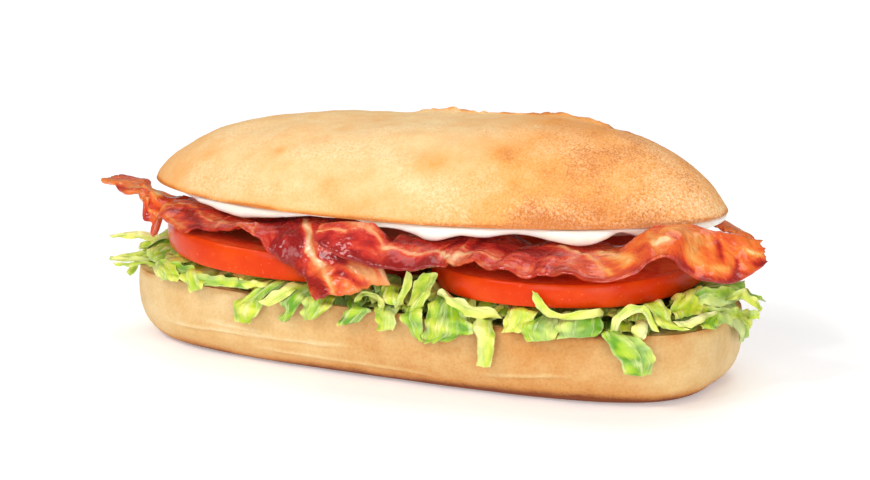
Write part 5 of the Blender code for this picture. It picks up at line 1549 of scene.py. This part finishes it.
def floor_material():
    """A plain pale matt surface."""
    floor = Surface("floor")
    away = floor.node("VectorMath", {0: floor.place}, operation="LENGTH").outputs["Value"]
    return floor.finish(
        Base_Color=floor.mix(floor.noise(40.0), (0.95, 0.95, 0.95), (0.97, 0.97, 0.97)),
        Roughness=0.9,
        Specular_IOR_Level=0.1,
        Emission_Color=(1, 1, 1),
        Emission_Strength=floor.range(away, *FLOOR_GLOW_DISTANCES, *FLOOR_GLOW),
    )


# The sandwich

def build_bread():
    """The two halves of the roll, each with its own crust colours."""
    heel = crust_material("heel crust", HEEL_BAKES)
    crown = crust_material("crown crust", CROWN_BAKES)
    add_piece("heel_bread", heel_parts(), "roll_heel", heel)
    add_piece("crown_bread", crown_parts(), "roll_crown", crown)


def build_fillings():
    """Mayonnaise, tomato, bacon and lettuce, the firm ones first, so that the soft ones lie against them."""
    add_piece("mayonnaise_layer", mayo_parts(), "mayonnaise", mayo_material())
    tomato = tomato_material()
    for k, (name, sizes) in enumerate(TOMATO_SLICES.items()):
        add_piece(name + "_flesh", tomato_parts(sizes, TOMATO_SEED + 2 * k), name, tomato)

    shapes = [outside_heel, outside_crown, *map(outside_slice, TOMATO_SLICES.values())]
    bacon = bacon_material()
    for phase, (name, stations) in enumerate(BACON_ROUTES.items()):
        points, _ = settle(bacon_points(stations, phase), shapes, BACON_THICKNESS / 2 + GAP + SHEET_SLACK)
        streaks = streaks_seen(points, BACON_STREAKS_SEEN.get(name, ())) + BACON_STREAKS.get(name, ())
        parts = bacon_parts(points, streaks, BACON_NOTCHES.get(name, ()), BACON_SEED + 10 * phase)
        add_piece(name + "_rasher", parts, name, bacon)
        shapes.append(outside_sheet(points, BACON_THICKNESS))

    draw = random.Random(LETTUCE_SEED)

    def varied(shreds, greens, ribs):
        return [(shred_points(*sizes), (draw.uniform(*greens), draw.uniform(*ribs))) for sizes in shreds]

    shreds = [(ribbon_points(stations), tone) for tone, *stations in LETTUCE_RIBBONS]
    shreds += varied(rim_shreds(), LETTUCE_RIM_GREENS, LETTUCE_RIM_RIBS)
    fill = varied(fill_shreds(), LETTUCE_FILL_GREENS, LETTUCE_FILL_RIBS)
    lettuce = lettuce_material()
    clearance = LETTUCE_THICKNESS / 2 + GAP + SHEET_SLACK
    kept = leaves(shreds, shapes, clearance, LETTUCE_LEAF_SPACING, draw)
    add_piece("lettuce_leaves", kept, "lettuce", lettuce)
    kept = leaves(fill, shapes, LETTUCE_FILL_CLEARANCE, LETTUCE_FILL_SPACING, draw)
    add_piece("lettuce_fill", kept, "lettuce", lettuce)
    add_piece("lettuce_core", core_parts(), "lettuce", core_material())


# The studio

def add_camera():
    """The camera, at the photograph's angle."""
    camera = bpy.data.objects.new("camera", bpy.data.cameras.new("camera"))
    camera.data.lens = CAMERA_LENS
    camera.data.sensor_width = CAMERA_SENSOR
    camera.data.clip_start = 0.01
    back = Vector(camera_axes()[1])
    camera.location = (Vector(CAMERA_TARGET) + CAMERA_DISTANCE * back) * MM
    camera.rotation_euler = (-back).to_track_quat("-Z", "Y").to_euler()
    bpy.context.scene.collection.objects.link(camera)
    bpy.context.scene.camera = camera


def add_lamp(name, place, size, power):
    """A square soft white light that faces the sandwich."""
    lamp = bpy.data.objects.new(name, bpy.data.lights.new(name, "AREA"))
    lamp.data.size = size
    lamp.data.energy = power
    lamp.location = place
    lamp.rotation_euler = (Vector(CAMERA_TARGET) * MM - Vector(place)).to_track_quat("-Z", "Y").to_euler()
    bpy.context.scene.collection.objects.link(lamp)


def add_studio():
    """Floor, lights and pale surroundings."""
    shape = bmesh.new()
    bmesh.ops.create_grid(shape, x_segments=8, y_segments=8, size=FLOOR_HALF_SIDE)
    mesh = bpy.data.meshes.new("floor")
    shape.to_mesh(mesh)
    shape.free()
    mesh.materials.append(floor_material())
    floor = bpy.data.objects.new("floor", mesh)
    bpy.context.scene.collection.objects.link(floor)

    for name, (place, size, power) in LAMPS.items():
        add_lamp(name, place, size, power)

    world = bpy.data.worlds.new("surroundings")
    world.use_nodes = True
    world.node_tree.nodes["Background"].inputs["Color"].default_value = (1, 1, 1, 1)
    world.node_tree.nodes["Background"].inputs["Strength"].default_value = SURROUNDINGS_STRENGTH
    bpy.context.scene.world = world
    bpy.context.scene.view_settings.view_transform = "Standard"


build_bread()
build_fillings()
add_camera()
add_studio()
